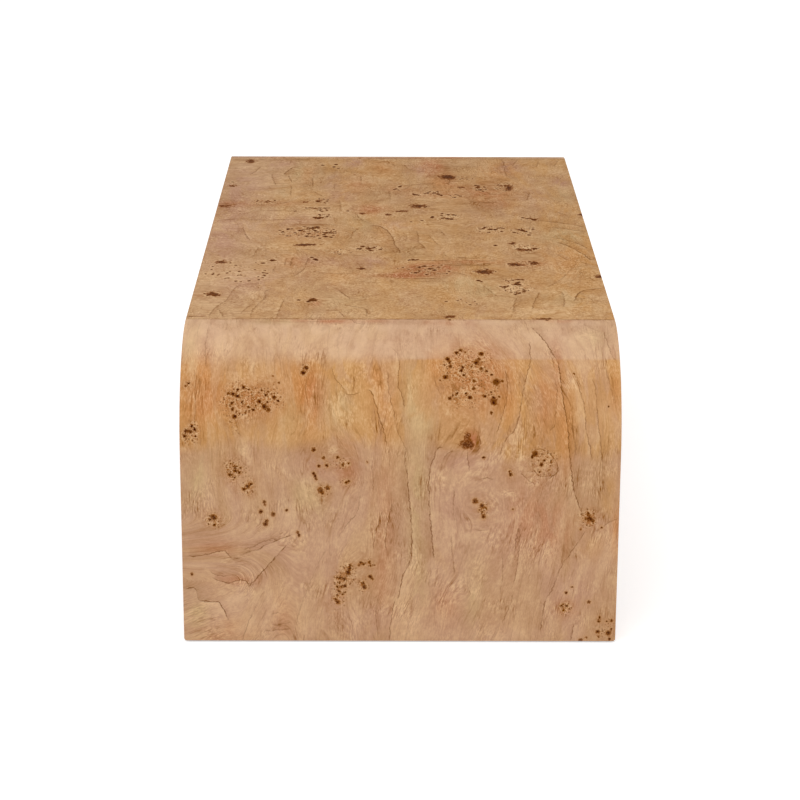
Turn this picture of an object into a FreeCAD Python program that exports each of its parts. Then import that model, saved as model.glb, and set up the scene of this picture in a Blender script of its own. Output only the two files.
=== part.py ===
import FreeCAD, Part
import math
import os

# Waterfall coffee table: a flat top panel and two J-shaped leg panels, each a hollow frame
# with skins glued to both sides and burl veneer over everything that shows.
# Millimetres. +Z is up, +Y runs along the table, and the origin is on the floor under its middle.
# "front" is the end towards -Y and "left" is towards -X. Depths count inwards from the show face.

# ---- overall form ----
table_length = 1372.0
table_width = 610.0
table_height = 432.0
panel_thickness = 50.0
shoulder_radius = 152.0
floor_gap = 2.0
corner_radius = 4.0
seam_gap = 0.3

# ---- layers of every panel ----
veneer = 0.6
outer_skin = 9.0
inner_skin = 6.0

# ---- top panel's frame ----
side_rail_width = 45.0
end_rail_width = 80.0
spine_width = 30.0
rib_width = 20.0
rib_count = 4
housing_depth = 10.0

# ---- leg panels' frame ----
head_rail_angle = 36.0
former_width = 18.0
former_count = 5
former_housing_angle = 4.0
lap_length = 60.0
foot_rail_height = 56.0

# ---- loose tongue across each seam ----
tongue_thickness = 8.0
tongue_depth = 14.0
tongue_inset = 50.0
tongue_drop = 20.0
tongue_clearance = 0.2

# ---- draw bolts across each seam, let in from below ----
bolt_count = 2
bolt_spacing = 340.0
bolt_drop = 35.0
bolt_diameter = 8.0
bolt_length = 80.0
bolt_head = 5.3
channel_width = 10.0
pocket_setback = 32.0
pocket_width = 26.0
pocket_length = 44.0
pocket_headroom = 9.0
washer_thickness = 3.0
washer_width = 28.0
washer_height = 16.0
washer_slot_clearance = 0.4
hexagon_width = 13.0
nut_height = 6.5

# ---- levelling feet ----
leveller_inset = 62.0
pad_diameter = 25.0
pad_thickness = 8.0
pad_recess_clearance = 2.0
pad_floor = 1.6
screw_foot_diameter = 9.0
socket_clearance = 0.1
collar_width = 13.0
collar_height = 4.0
moving_gap = 0.3
stem_diameter = 7.8
stem_length = 34.0
thread_clearance = 0.1
insert_diameter = 12.0
insert_length = 24.0
insert_hole_depth = 38.0

# ---- worked out from the sizes above ----
inside_width = table_width - 2 * veneer
core_top = veneer + outer_skin
core_bottom = panel_thickness - veneer - inner_skin
core_middle = (core_top + core_bottom) / 2
seam_y = table_length / 2 - shoulder_radius
top_end_y = seam_y - seam_gap
tangent_z = table_height - shoulder_radius
frame_bottom = floor_gap + veneer
foot_rail_top = frame_bottom + foot_rail_height
pocket_end = pocket_setback + pocket_width
bolt_z = table_height - bolt_drop
tongue_z = table_height - tongue_drop
pad_recess_radius = pad_diameter / 2 + pad_recess_clearance
collar_bottom = pad_thickness + moving_gap
collar_top = collar_bottom + collar_height
insert_bottom = collar_top + moving_gap
leg_y = table_length / 2 - core_middle


def block(x0, x1, y0, y1, z0, z1):
    """A box between two corners."""
    return Part.makeBox(x1 - x0, y1 - y0, z1 - z0, FreeCAD.Vector(x0, y0, z0))


def across(half_width, y0, y1, z0, z1):
    """A box that reaches the same distance to both sides of the table's middle."""
    return block(-half_width, half_width, y0, y1, z0, z1)


def layer(half_width, y0, y1, depth_a, depth_b):
    """A box in the top panel between two depths under the show face."""
    return across(half_width, y0, y1, table_height - depth_b, table_height - depth_a)


def post(x, y, z0, z1, radius):
    """An upright cylinder."""
    return Part.makeCylinder(radius, z1 - z0, FreeCAD.Vector(x, y, z0))


def hexagon(centre, axis, across_flats, thickness):
    """A hexagonal prism standing on centre and growing along axis, which is Y or Z."""
    reach = across_flats / math.sqrt(3)
    corners = []
    for i in range(7):
        turn = math.radians(60 * i)
        if axis.z:
            step = FreeCAD.Vector(reach * math.cos(turn), reach * math.sin(turn), 0)
        else:
            step = FreeCAD.Vector(reach * math.cos(turn), 0, reach * math.sin(turn))
        corners.append(centre + step)
    return Part.Face(Part.makePolygon(corners)).extrude(axis * thickness)


def evenly(first, last, count):
    """Positions that divide the way from first to last evenly, both ends included."""
    return [first + (last - first) * i / (count - 1) for i in range(count)]


def shoulder_point(radius, angle, x=0.0):
    """A point on the front shoulder: angle 0 is at the seam and 90 where the leg hangs straight."""
    turn = math.radians(angle)
    y = -seam_y - radius * math.sin(turn)
    z = tangent_z + radius * math.cos(turn)
    return FreeCAD.Vector(x, y, z)


def shoulder_arc(depth, start, end, x):
    """An arc of the shoulder at one depth, from one angle to another."""
    radius = shoulder_radius - depth
    middle = (start + end) / 2
    points = [shoulder_point(radius, a, x) for a in (start, middle, end)]
    return Part.Arc(*points).toShape()


def shoulder_sector(depth_a, depth_b, start, end, x0, x1):
    """The bent part of a leg panel between two depths and two angles."""
    outer = shoulder_arc(depth_a, start, end, x0)
    inner = shoulder_arc(depth_b, end, start, x0)
    down = Part.makeLine(shoulder_point(shoulder_radius - depth_a, end, x0),
                         shoulder_point(shoulder_radius - depth_b, end, x0))
    back = Part.makeLine(shoulder_point(shoulder_radius - depth_b, start, x0),
                         shoulder_point(shoulder_radius - depth_a, start, x0))
    profile = Part.Wire([outer, down, inner, back])
    return Part.Face(profile).extrude(FreeCAD.Vector(x1 - x0, 0, 0))


def leg_strip(depth_a, depth_b, z0, z1, x0, x1):
    """A straight box in the hanging part of the front leg panel between two depths."""
    outer_y = -table_length / 2
    return block(x0, x1, outer_y + depth_a, outer_y + depth_b, z0, z1)


def bent_sheet(depth_a, depth_b, z0, x0, x1):
    """A sheet that runs from the seam round the shoulder and down the front leg to z0."""
    outer_y = -table_length / 2
    outer = shoulder_arc(depth_a, 0, 90, x0)
    inner = shoulder_arc(depth_b, 90, 0, x0)
    corners = [
        FreeCAD.Vector(x0, outer_y + depth_a, tangent_z),
        FreeCAD.Vector(x0, outer_y + depth_a, z0),
        FreeCAD.Vector(x0, outer_y + depth_b, z0),
        FreeCAD.Vector(x0, outer_y + depth_b, tangent_z),
    ]
    runs = [Part.makeLine(a, b) for a, b in zip(corners, corners[1:])]
    close = Part.makeLine(shoulder_point(shoulder_radius - depth_b, 0, x0),
                          shoulder_point(shoulder_radius - depth_a, 0, x0))
    profile = Part.Wire([outer] + runs + [inner, close])
    return Part.Face(profile).extrude(FreeCAD.Vector(x1 - x0, 0, 0))


def leg_outline():
    """The leg's outline seen from the end, with its bottom corners rounded, as a cutting block."""
    half = table_width / 2
    shape = block(-half, half, -table_length / 2, -seam_y, floor_gap, table_height)
    bottom = [e for e in shape.Edges
              if abs(e.CenterOfMass.z - floor_gap) < 1e-6 and abs(abs(e.CenterOfMass.x) - half) < 1e-6]
    return shape.makeFillet(corner_radius, bottom)


def pocket_positions():
    """The bolts' places across the seam."""
    reach = bolt_spacing * (bolt_count - 1) / 2
    return evenly(-reach, reach, bolt_count)


def bolt_pocket(x, side):
    """One spanner pocket, from below up to above the nut."""
    near = side * pocket_setback
    far = side * pocket_end
    y0 = min(near, far) - seam_y
    y1 = max(near, far) - seam_y
    half = pocket_length / 2
    return block(x - half, x + half, y0, y1, tangent_z, bolt_z + pocket_headroom)


def bolt_ways():
    """Everything cut away for the front seam's bolts: channels, and a pocket at each of their ends."""
    cutters = []
    for x in pocket_positions():
        half = channel_width / 2
        y0 = -seam_y - pocket_setback
        y1 = -seam_y + pocket_setback
        slot = block(x - half, x + half, y0, y1, tangent_z, bolt_z)
        crown = Part.makeCylinder(half, y1 - y0, FreeCAD.Vector(x, y0, bolt_z), FreeCAD.Vector(0, 1, 0))
        parts = [crown, bolt_pocket(x, -1), bolt_pocket(x, 1)]
        cutters.append(slot.multiFuse(parts).removeSplitter())
    return Part.makeCompound(cutters)


def tongue_groove():
    """The stopped groove for the loose tongue, on both sides of the front seam."""
    half = table_width / 2 - tongue_inset + tongue_clearance
    reach = tongue_depth + tongue_clearance
    lift = tongue_thickness / 2 + tongue_clearance
    return across(half, -seam_y - reach, -seam_y + seam_gap + reach, tongue_z - lift, tongue_z + lift)


def seam_tongue():
    """The loose tongue, with its ends rounded like the groove cutter leaves them."""
    half = table_width / 2 - tongue_inset
    lift = tongue_thickness / 2
    shape = across(half, -seam_y - tongue_depth, -seam_y + seam_gap + tongue_depth,
                   tongue_z - lift, tongue_z + lift)
    ends = [e for e in shape.Edges if abs(abs(e.CenterOfMass.x) - half) < 1e-6
            and abs(e.CenterOfMass.z - tongue_z) < 1e-6]
    return shape.makeFillet(lift, ends)


def leg_face_veneer():
    """The burl face that runs unbroken from the seam round the shoulder to the floor."""
    half = table_width / 2
    return bent_sheet(0, veneer, floor_gap, -half, half).common(leg_outline())


def leg_inside_veneer():
    """The burl face on the leg's inside, with the bolts' pockets let through."""
    half = table_width / 2
    sheet = bent_sheet(panel_thickness - veneer, panel_thickness, floor_gap, -half, half)
    return sheet.common(leg_outline()).cut(bolt_ways())


def leg_outer_skin():
    """Bent plywood under the leg's face veneer."""
    half = inside_width / 2
    return bent_sheet(veneer, core_top, frame_bottom, -half, half).common(leg_outline())


def leg_inner_skin():
    """Bent plywood under the leg's inside veneer."""
    half = inside_width / 2
    sheet = bent_sheet(core_bottom, panel_thickness - veneer, frame_bottom, -half, half)
    return sheet.common(leg_outline()).cut(bolt_ways())


def leg_edge_veneer(side):
    """The J-shaped strip that covers the layers along one side of the leg."""
    inner = side * inside_width / 2
    outer = side * table_width / 2
    sheet = bent_sheet(veneer, panel_thickness - veneer, floor_gap, min(inner, outer), max(inner, outer))
    return sheet.common(leg_outline())


def former_positions():
    """The formers stand flush with both sides, and the others are spread evenly between."""
    reach = inside_width / 2 - former_width / 2
    return evenly(-reach, reach, former_count)


def shoulder_former(x):
    """One sawn former: a quarter of a ring, with half its width running down as a lap."""
    half = former_width / 2
    start = head_rail_angle - former_housing_angle
    bend = shoulder_sector(core_top, core_bottom, start, 90, x - half, x + half)
    lap = leg_strip(core_top, core_bottom, tangent_z - lap_length, tangent_z, x - half, x)
    return bend.fuse(lap).removeSplitter()


def leg_stile(x):
    """One upright: its lower end is housed in the foot rail and its upper end laps the former."""
    half = former_width / 2
    low = foot_rail_top - housing_depth
    body = leg_strip(core_top, core_bottom, low, tangent_z - lap_length, x - half, x + half)
    lap = leg_strip(core_top, core_bottom, tangent_z - lap_length, tangent_z, x, x + half)
    return body.fuse(lap).removeSplitter()


def side_formers():
    """The two formers that the edge veneers are glued to."""
    places = former_positions()
    return Part.makeCompound([shoulder_former(x) for x in (places[0], places[-1])])


def inner_formers():
    """The formers between them, sealed inside."""
    return Part.makeCompound([shoulder_former(x) for x in former_positions()[1:-1]])


def leg_stiles():
    return Part.makeCompound([leg_stile(x) for x in former_positions()])


def head_rail():
    """The solid block at the seam, milled to the bend, that takes the tongue, bolts and formers."""
    half = inside_width / 2
    rail = shoulder_sector(core_top, core_bottom, 0, head_rail_angle, -half, half)
    return rail.cut([tongue_groove(), bolt_ways(), side_formers(), inner_formers()])


def leveller_positions():
    """The two levellers of the front leg."""
    reach = table_width / 2 - leveller_inset
    return [(-reach, -leg_y), (reach, -leg_y)]


def leveller_hole(x, y):
    """The stepped hole for one leveller: the pad's recess, and above it the insert's hole."""
    recess = post(x, y, 0, insert_bottom, pad_recess_radius)
    return recess.fuse(post(x, y, insert_bottom, insert_bottom + insert_hole_depth, insert_diameter / 2))


def leveller_holes():
    return Part.makeCompound([leveller_hole(x, y) for x, y in leveller_positions()])


def foot_rail():
    """The solid rail along the leg's bottom, housing the stiles and the levellers."""
    half = inside_width / 2
    rail = leg_strip(core_top, core_bottom, frame_bottom, foot_rail_top, -half, half)
    return rail.common(leg_outline()).cut([leg_stiles(), leveller_holes()])


def base_band():
    """The strip that seals the leg's bottom edge, open round the levellers."""
    half = inside_width / 2
    band = leg_strip(veneer, panel_thickness - veneer, floor_gap, frame_bottom, -half, half)
    return band.common(leg_outline()).cut(leveller_holes())


def threaded_insert(x, y):
    """A steel sleeve screwed into the foot rail; the stem turns in it."""
    top = insert_bottom + insert_length
    sleeve = post(x, y, insert_bottom, top, insert_diameter / 2)
    return sleeve.cut(post(x, y, insert_bottom, top, stem_diameter / 2 + thread_clearance))


def leveller_stem(x, y):
    """The screw: a round foot that the pad's socket grips, a spanner collar and the threaded stem."""
    foot = post(x, y, pad_floor + socket_clearance, collar_bottom, screw_foot_diameter / 2)
    collar = hexagon(FreeCAD.Vector(x, y, collar_bottom), FreeCAD.Vector(0, 0, 1), collar_width, collar_height)
    shaft = post(x, y, collar_top, collar_top + stem_length, stem_diameter / 2)
    return foot.multiFuse([collar, shaft]).removeSplitter()


def leveller_pad(x, y):
    """The moulded pad: a disc with a blind socket in its upper face."""
    disc = post(x, y, 0, pad_thickness, pad_diameter / 2)
    return disc.cut(post(x, y, pad_floor, pad_thickness, screw_foot_diameter / 2 + socket_clearance))


def joint_bolt(x):
    """One draw bolt: its head lies in the leg's pocket, and its end stands just past the nut."""
    along = FreeCAD.Vector(0, 1, 0)
    start = FreeCAD.Vector(x, -seam_y - pocket_setback - washer_thickness, bolt_z)
    head = hexagon(start, -along, hexagon_width, bolt_head)
    return head.fuse(Part.makeCylinder(bolt_diameter / 2, bolt_length, start, along))


def joint_washer(x, side):
    """A plate that bears on the pocket's wall; its slot is open upwards, so it slips on from below."""
    start = -seam_y + side * pocket_setback
    y0 = min(start, start + side * washer_thickness)
    z0 = bolt_z - washer_height / 2
    half = washer_width / 2
    plate = block(x - half, x + half, y0, y0 + washer_thickness, z0, z0 + washer_height)
    gap = bolt_diameter / 2 + washer_slot_clearance
    return plate.cut(block(x - gap, x + gap, y0, y0 + washer_thickness, bolt_z - gap, bolt_z + washer_height))


def joint_nut(x):
    """A hexagon nut in the top panel's pocket, drawn tight against the washer."""
    along = FreeCAD.Vector(0, 1, 0)
    start = FreeCAD.Vector(x, -seam_y + pocket_setback + washer_thickness, bolt_z)
    nut = hexagon(start, along, hexagon_width, nut_height)
    return nut.cut(Part.makeCylinder(bolt_diameter / 2, nut_height, start, along))


def joint_washers():
    """Two plates for every bolt, one on each side of the seam."""
    return Part.makeCompound([joint_washer(x, side) for x in pocket_positions() for side in (-1, 1)])


def both_ends(shape):
    """A shape at the front end together with its mirror image at the back end."""
    return Part.makeCompound([shape, to_back(shape)])


def to_back(shape):
    """The same shape at the table's back end."""
    return shape.mirror(FreeCAD.Vector(0, 0, 0), FreeCAD.Vector(0, 1, 0))


def top_end_rail():
    """The solid rail at the top panel's front end, with the tongue's groove and the bolts' ways."""
    rail = layer(inside_width / 2, -top_end_y, -top_end_y + end_rail_width, core_top, core_bottom)
    return rail.cut([tongue_groove(), bolt_ways(), top_side_rail(-1), top_side_rail(1), top_spine_bar()])


def top_side_rail(side):
    """A long rail flush with one side, its ends housed in the end rails."""
    outer = side * inside_width / 2
    inner = outer - side * side_rail_width
    reach = top_end_y - end_rail_width + housing_depth
    return block(min(outer, inner), max(outer, inner), -reach, reach,
                 table_height - core_bottom, table_height - core_top)


def top_spine_bar():
    """The middle rail before its notches are cut, its ends housed in the end rails."""
    reach = top_end_y - end_rail_width + housing_depth
    return layer(spine_width / 2, -reach, reach, core_top, core_bottom)


def rib_positions():
    """The ribs divide the length between the end rails evenly."""
    reach = top_end_y - end_rail_width
    return evenly(-reach, reach, rib_count + 2)[1:-1]


def top_rib(y):
    """One cross rib before it is notched, its ends housed in the side rails."""
    reach = inside_width / 2 - side_rail_width + housing_depth
    return layer(reach, y - rib_width / 2, y + rib_width / 2, core_top, core_bottom)


def top_cross_ribs():
    """The ribs, notched from above so that they sit half-way over the spine."""
    notch = layer(spine_width / 2, -top_end_y, top_end_y, core_top, core_middle)
    return Part.makeCompound([top_rib(y).cut(notch) for y in rib_positions()])


def top_spine():
    """The spine, notched from below for each rib."""
    return top_spine_bar().cut(top_cross_ribs())


def top_side_rail_housed(side):
    """A side rail with the ribs' housings."""
    return top_side_rail(side).cut(top_cross_ribs())


def top_sheet(depth_a, depth_b, half_width):
    """A flat sheet the length of the top panel."""
    return layer(half_width, -top_end_y, top_end_y, depth_a, depth_b)


def top_edge_veneer(side):
    """The straight strip that covers the layers along one side of the top."""
    inner = side * inside_width / 2
    outer = side * table_width / 2
    return block(min(inner, outer), max(inner, outer), -top_end_y, top_end_y,
                 table_height - panel_thickness + veneer, table_height - veneer)


def top_panel():
    """Every piece of the flat top panel, by node name."""
    ways = both_ends(bolt_ways())
    half = inside_width / 2
    end_rail = top_end_rail()
    return {
        "top_upper_skin": top_sheet(veneer, core_top, half),
        "top_lower_skin": top_sheet(core_bottom, panel_thickness - veneer, half).cut(ways),
        "top_left_rail": top_side_rail_housed(-1),
        "top_right_rail": top_side_rail_housed(1),
        "top_front_rail": end_rail,
        "top_back_rail": to_back(end_rail),
        "top_cross_ribs": top_cross_ribs(),
        "top_spine": top_spine(),
        "top_face_veneer": top_sheet(0, veneer, table_width / 2),
        "top_under_veneer": top_sheet(panel_thickness - veneer, panel_thickness, table_width / 2).cut(ways),
        "top_left_edge_veneer": top_edge_veneer(-1),
        "top_right_edge_veneer": top_edge_veneer(1),
    }


def leg_panel():
    """Every fixed piece of the front leg panel and its seam, by the end of its node name."""
    inserts = [threaded_insert(x, y) for x, y in leveller_positions()]
    return {
        "outer_skin": leg_outer_skin(),
        "inner_skin": leg_inner_skin(),
        "head_rail": head_rail(),
        "side_formers": side_formers(),
        "inner_formers": inner_formers(),
        "leg_stiles": leg_stiles(),
        "foot_rail": foot_rail(),
        "face_veneer": leg_face_veneer(),
        "inside_veneer": leg_inside_veneer(),
        "left_edge_veneer": leg_edge_veneer(-1),
        "right_edge_veneer": leg_edge_veneer(1),
        "base_band": base_band(),
        "seam_tongue": seam_tongue(),
        "joint_bolts": Part.makeCompound([joint_bolt(x) for x in pocket_positions()]),
        "joint_washers": joint_washers(),
        "joint_nuts": Part.makeCompound([joint_nut(x) for x in pocket_positions()]),
        "leveller_inserts": Part.makeCompound(inserts),
    }


def levellers():
    """The screw and the pad of each leveller, by node name."""
    pieces = {}
    for side, (x, y) in zip(("left", "right"), leveller_positions()):
        stem = leveller_stem(x, y)
        pad = leveller_pad(x, y)
        pieces[f"front_{side}_leveller_stem"] = stem
        pieces[f"front_{side}_leveller_pad"] = pad
        pieces[f"back_{side}_leveller_stem"] = to_back(stem)
        pieces[f"back_{side}_leveller_pad"] = to_back(pad)
    return pieces


def whole_table():
    """Every node of the table."""
    nodes = top_panel()
    for name, shape in leg_panel().items():
        nodes[f"front_{name}"] = shape
        nodes[f"back_{name}"] = to_back(shape)
    nodes.update(levellers())
    return nodes


os.makedirs("parts", exist_ok=True)
for node, solid in whole_table().items():
    solid.exportStep(f"parts/{node}.step")
    print(node, len(solid.Solids), round(solid.Volume / 1000.0, 1), "cm3", solid.isValid())
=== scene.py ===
# %% [markdown]
# # A waterfall coffee table in poplar burl
# The table is three hollow panels: a flat top and two leg panels whose upper ends are bent into a shoulder.
# The construction is already solid, so this file dresses it. It lays the burl sheets that people see,
# gives every other piece the finish of its own material, and sets up a plain studio.

# %% Load the construction and keep its box
import math

import bpy
import numpy as np
from mathutils import Euler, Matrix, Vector


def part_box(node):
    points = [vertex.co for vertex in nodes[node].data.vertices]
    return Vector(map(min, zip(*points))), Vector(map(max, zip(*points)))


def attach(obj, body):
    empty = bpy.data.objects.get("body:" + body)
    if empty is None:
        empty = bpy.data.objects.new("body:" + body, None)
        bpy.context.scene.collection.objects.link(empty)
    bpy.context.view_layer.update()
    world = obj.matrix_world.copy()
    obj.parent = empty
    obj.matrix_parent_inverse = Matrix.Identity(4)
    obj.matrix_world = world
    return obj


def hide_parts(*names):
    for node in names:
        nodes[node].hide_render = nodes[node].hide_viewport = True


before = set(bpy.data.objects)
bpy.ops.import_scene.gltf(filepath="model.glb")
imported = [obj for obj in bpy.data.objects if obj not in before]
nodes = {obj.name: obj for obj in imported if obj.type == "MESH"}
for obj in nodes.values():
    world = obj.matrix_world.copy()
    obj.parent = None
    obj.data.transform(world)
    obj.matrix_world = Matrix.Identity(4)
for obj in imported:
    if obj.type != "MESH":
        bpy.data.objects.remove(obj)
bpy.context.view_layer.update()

print("pieces in the construction:", len(nodes))

# %% [markdown]
# ## Sizes
# Nothing is measured twice. The flat top sheet gives the width, the height and the place of the seams,
# and the front leg's sheet gives the bend's radius and where the leg ends above the floor. Three sizes are
# chosen here: the rounding of a leg's bottom corners, and how far apart the grid points of the sheets lie.
# The marks further down are chalked in millimetres, while Blender counts in metres.

# %% Read the sizes
top_low, top_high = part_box("top_face_veneer")
leg_low, leg_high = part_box("front_face_veneer")
half_width = top_high.x
table_top = top_high.z
sheet_thickness = top_high.z - top_low.z
seam = leg_high.y
half_length = -leg_low.y
shoulder_radius = leg_high.y - leg_low.y
tangent = table_top - shoulder_radius
leg_end = leg_low.z
bend_length = shoulder_radius * math.pi / 2
leg_length = bend_length + tangent - leg_end
top_length = top_high.y - top_low.y
corner_radius = 0.004
leg_pitch = 0.00203
top_pitch = 0.003
millimetres = 1000
print(f"top {top_length:.3f} x {2 * half_width:.3f} m")
print(f"leg sheet {leg_length:.3f} m long, bend of {shoulder_radius:.3f} m radius")

# %% [markdown]
# ## A sheet of veneer
# A veneer face is a thin sheet that follows a path: straight over the top, or round the shoulder and down
# the leg. It is a function of two numbers, across and along, so a grid of points carries it. Its edges are
# sanded round by half a millimetre, which is what catches the light along a real table's edges, so the grid
# has extra rows close to every border. The back of the sheet is plain: two long columns of points.

# %% Places along one side of a sheet
ease = 0.0005
ease_steps = 4


def places(length, pitch):
    """Distances from 0 to length: 1 - cos spacing over the sanded edge at both ends, even between."""
    rim = ease * (1 - np.cos(np.linspace(0, math.pi / 2, ease_steps)))
    count = int(math.ceil((length - 2 * ease) / pitch))
    middle = np.linspace(ease, length - ease, count + 1)[1:-1]
    return np.concatenate([rim, middle, length - rim[::-1]])


def sanded(distance):
    """How far the surface falls at a distance from the border: a quarter circle of radius ease."""
    inside = np.clip(ease - distance, 0, ease)
    return ease - np.sqrt(ease**2 - inside**2)


# %% The paths that sheets follow
def top_path(along):
    """The flat top from the front seam to the back seam: y grows with the distance and z stays."""
    level = np.full_like(along, table_top)
    up = np.ones_like(along)
    return top_low.y + along, level, 0 * along, up


def leg_path(along):
    """From the seam round a quarter circle, then straight down: the angle is distance over radius."""
    turn = np.minimum(along / shoulder_radius, math.pi / 2)
    drop = np.maximum(along - bend_length, 0)
    y = seam - shoulder_radius * np.sin(turn)
    z = tangent + shoulder_radius * np.cos(turn) - drop
    return y, z, -np.sin(turn), np.cos(turn)


def full_width(along):
    """The same half width all the way."""
    return np.full_like(along, half_width)


def leg_width(along):
    """Half the width, less a quarter circle over the rounded bottom corners."""
    into = np.clip(corner_radius - (leg_length - along), 0, corner_radius)
    return half_width - corner_radius + np.sqrt(corner_radius**2 - into**2)


# %% [markdown]
# The mesh is closed by two side walls, the back, and a many-sided face at each end, so that it is a solid
# leaf of wood and not a film. The far leg is the near leg seen in a mirror, so its faces are turned over.

# %% Points and faces of a sheet
def front_points(along, across, half, length, path):
    """The face: the path's place, less the fall of the sanded edge along the path's outward direction."""
    y, z, out_y, out_z = path(along)
    border = np.minimum(half[:, None] - np.abs(across), np.minimum(along, length - along)[:, None])
    fall = sanded(border)
    return np.stack([across, y[:, None] - out_y[:, None] * fall, z[:, None] - out_z[:, None] * fall], -1)


def back_points(along, half, path):
    """Two columns of points at the sheet's sides, one thickness under the path."""
    y, z, out_y, out_z = path(along)
    sides = np.stack([-half, half], -1)
    under = [np.broadcast_to((place - out * sheet_thickness)[:, None], sides.shape)
             for place, out in ((y, out_y), (z, out_z))]
    return np.stack([sides, *under], -1)


def closed_leaf(rows, columns):
    """Corner numbers of a leaf's faces: its front has rows x columns points, and its back rows x 2."""
    front = np.arange(rows * columns).reshape(rows, columns)
    back = rows * columns + np.arange(rows * 2).reshape(rows, 2)
    a, b = front[:-1], front[1:]
    quads = [
        np.stack([a[:, :-1], b[:, :-1], b[:, 1:], a[:, 1:]], -1).reshape(-1, 4),
        np.stack([a[:, 0], back[:-1, 0], back[1:, 0], b[:, 0]], -1),
        np.stack([a[:, -1], b[:, -1], back[1:, 1], back[:-1, 1]], -1),
        np.stack([back[:-1, 0], back[:-1, 1], back[1:, 1], back[1:, 0]], -1),
    ]
    first = [*front[0], back[0, 1], back[0, 0]]
    last = [*front[-1][::-1], back[-1, 0], back[-1, 1]]
    return np.concatenate(quads).tolist() + [first, last]


# %% Build a sheet
def flat_place(across, along):
    """Across and along for every point of a grid, as pairs."""
    return np.stack(np.broadcast_arrays(across, along[:, None]), -1).reshape(-1, 2)


def unroll(mesh, flat):
    """Gives a mesh the UV map "sheet": each point's place on the flat veneer, in metres."""
    corners = np.empty(len(mesh.loops), np.int32)
    mesh.loops.foreach_get("vertex_index", corners)
    layer = mesh.uv_layers.new(name="sheet")
    layer.data.foreach_set("uv", flat[corners].astype(np.float32).ravel())
    mesh.update()


def link_mesh(name, points, faces):
    """A new object with its mesh, linked to the scene."""
    mesh = bpy.data.meshes.new(name)
    mesh.from_pydata(points, [], faces)
    made = bpy.data.objects.new(name, mesh)
    bpy.context.scene.collection.objects.link(made)
    return made


def lay_sheet(name, path, width, length, pitch, mirrored=False, more_rows=()):
    """A sheet along a path. Returns the object and each point's place across and along, in metres."""
    along = np.unique(np.concatenate([places(length, pitch), more_rows]))
    share = places(2 * half_width, pitch) / half_width - 1
    half = width(along)
    front = front_points(along, share[None, :] * half[:, None], half, length, path)
    back = back_points(along, half, path)
    points = np.concatenate([front.reshape(-1, 3), back.reshape(-1, 3)])
    faces = closed_leaf(len(along), len(share))
    if mirrored:
        points[:, 1] *= -1
        faces = [f[::-1] for f in faces]
    sheet = link_mesh(name, points.tolist(), faces)
    sheet.data.polygons.foreach_set("use_smooth", np.arange(len(faces)) < len(faces) - 2)
    flat = np.concatenate([flat_place(front[..., 0], along), flat_place(back[..., 0], along)])
    unroll(sheet.data, flat)
    return sheet, flat


# %% [markdown]
# ## The figure in the wood
# Burl is a growth full of buds. Each bud leaves an eye, a brown dot of 3 to 6 mm with a darker heart, and
# the eyes sit in clusters. Growth lines run down the sheet and part round the clusters, as water does
# round a stone, and the strongest of them are sharp on one side and fade into a brown shadow on the
# other. All this must be crisp from close by, and a mesh fine enough to paint it would be far too heavy.
# So every grid point stores the way to its nearest eye and to its nearest strong line, and the shader
# draws both from that.

# %% Smooth fields over a sheet
lattice_cells = 96


def cloud(u, v, size_u, size_v, seed):
    """Random heights on a square lattice, eased between by 3t^2 - 2t^3: one octave of noise, -1 to 1."""
    random = np.random.default_rng(seed)
    lattice = random.uniform(-1, 1, (lattice_cells + 1, lattice_cells + 1))
    x = u / size_u + lattice_cells / 2
    y = v / size_v + lattice_cells / 2
    i, j = np.floor(x).astype(int) % lattice_cells, np.floor(y).astype(int) % lattice_cells
    s, t = x - np.floor(x), y - np.floor(y)
    s, t = s * s * (3 - 2 * s), t * t * (3 - 2 * t)
    low = lattice[i, j] * (1 - s) + lattice[i + 1, j] * s
    high = lattice[i, j + 1] * (1 - s) + lattice[i + 1, j + 1] * s
    return low * (1 - t) + high * t


def spot(u, v, centre, reach, tilt=0.0):
    """A soft spot, exp(-q^2), where q is the distance from centre in reaches, turned by tilt degrees."""
    c, s = math.cos(math.radians(tilt)), math.sin(math.radians(tilt))
    du, dv = u - centre[0], v - centre[1]
    return np.exp(-(((c * du + s * dv) / reach[0]) ** 2) - ((c * dv - s * du) / reach[1]) ** 2)


def rise(value, low, high):
    """0 below low, 1 above high, and 3t^2 - 2t^3 between."""
    t = np.clip((value - low) / (high - low), 0, 1)
    return t * t * (3 - 2 * t)


def in_millimetres(flat):
    """Every point's place across and its place along, in mm."""
    return flat[:, 0] * millimetres, flat[:, 1] * millimetres


# %% [markdown]
# Everything is marked as a maker would chalk it on the sheet, in millimetres: across from the middle, and
# along from the seam. An eye is its place and its radius. The leg's eyes are placed one by one, from its
# left side to its right, and then down towards the floor.

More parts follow.
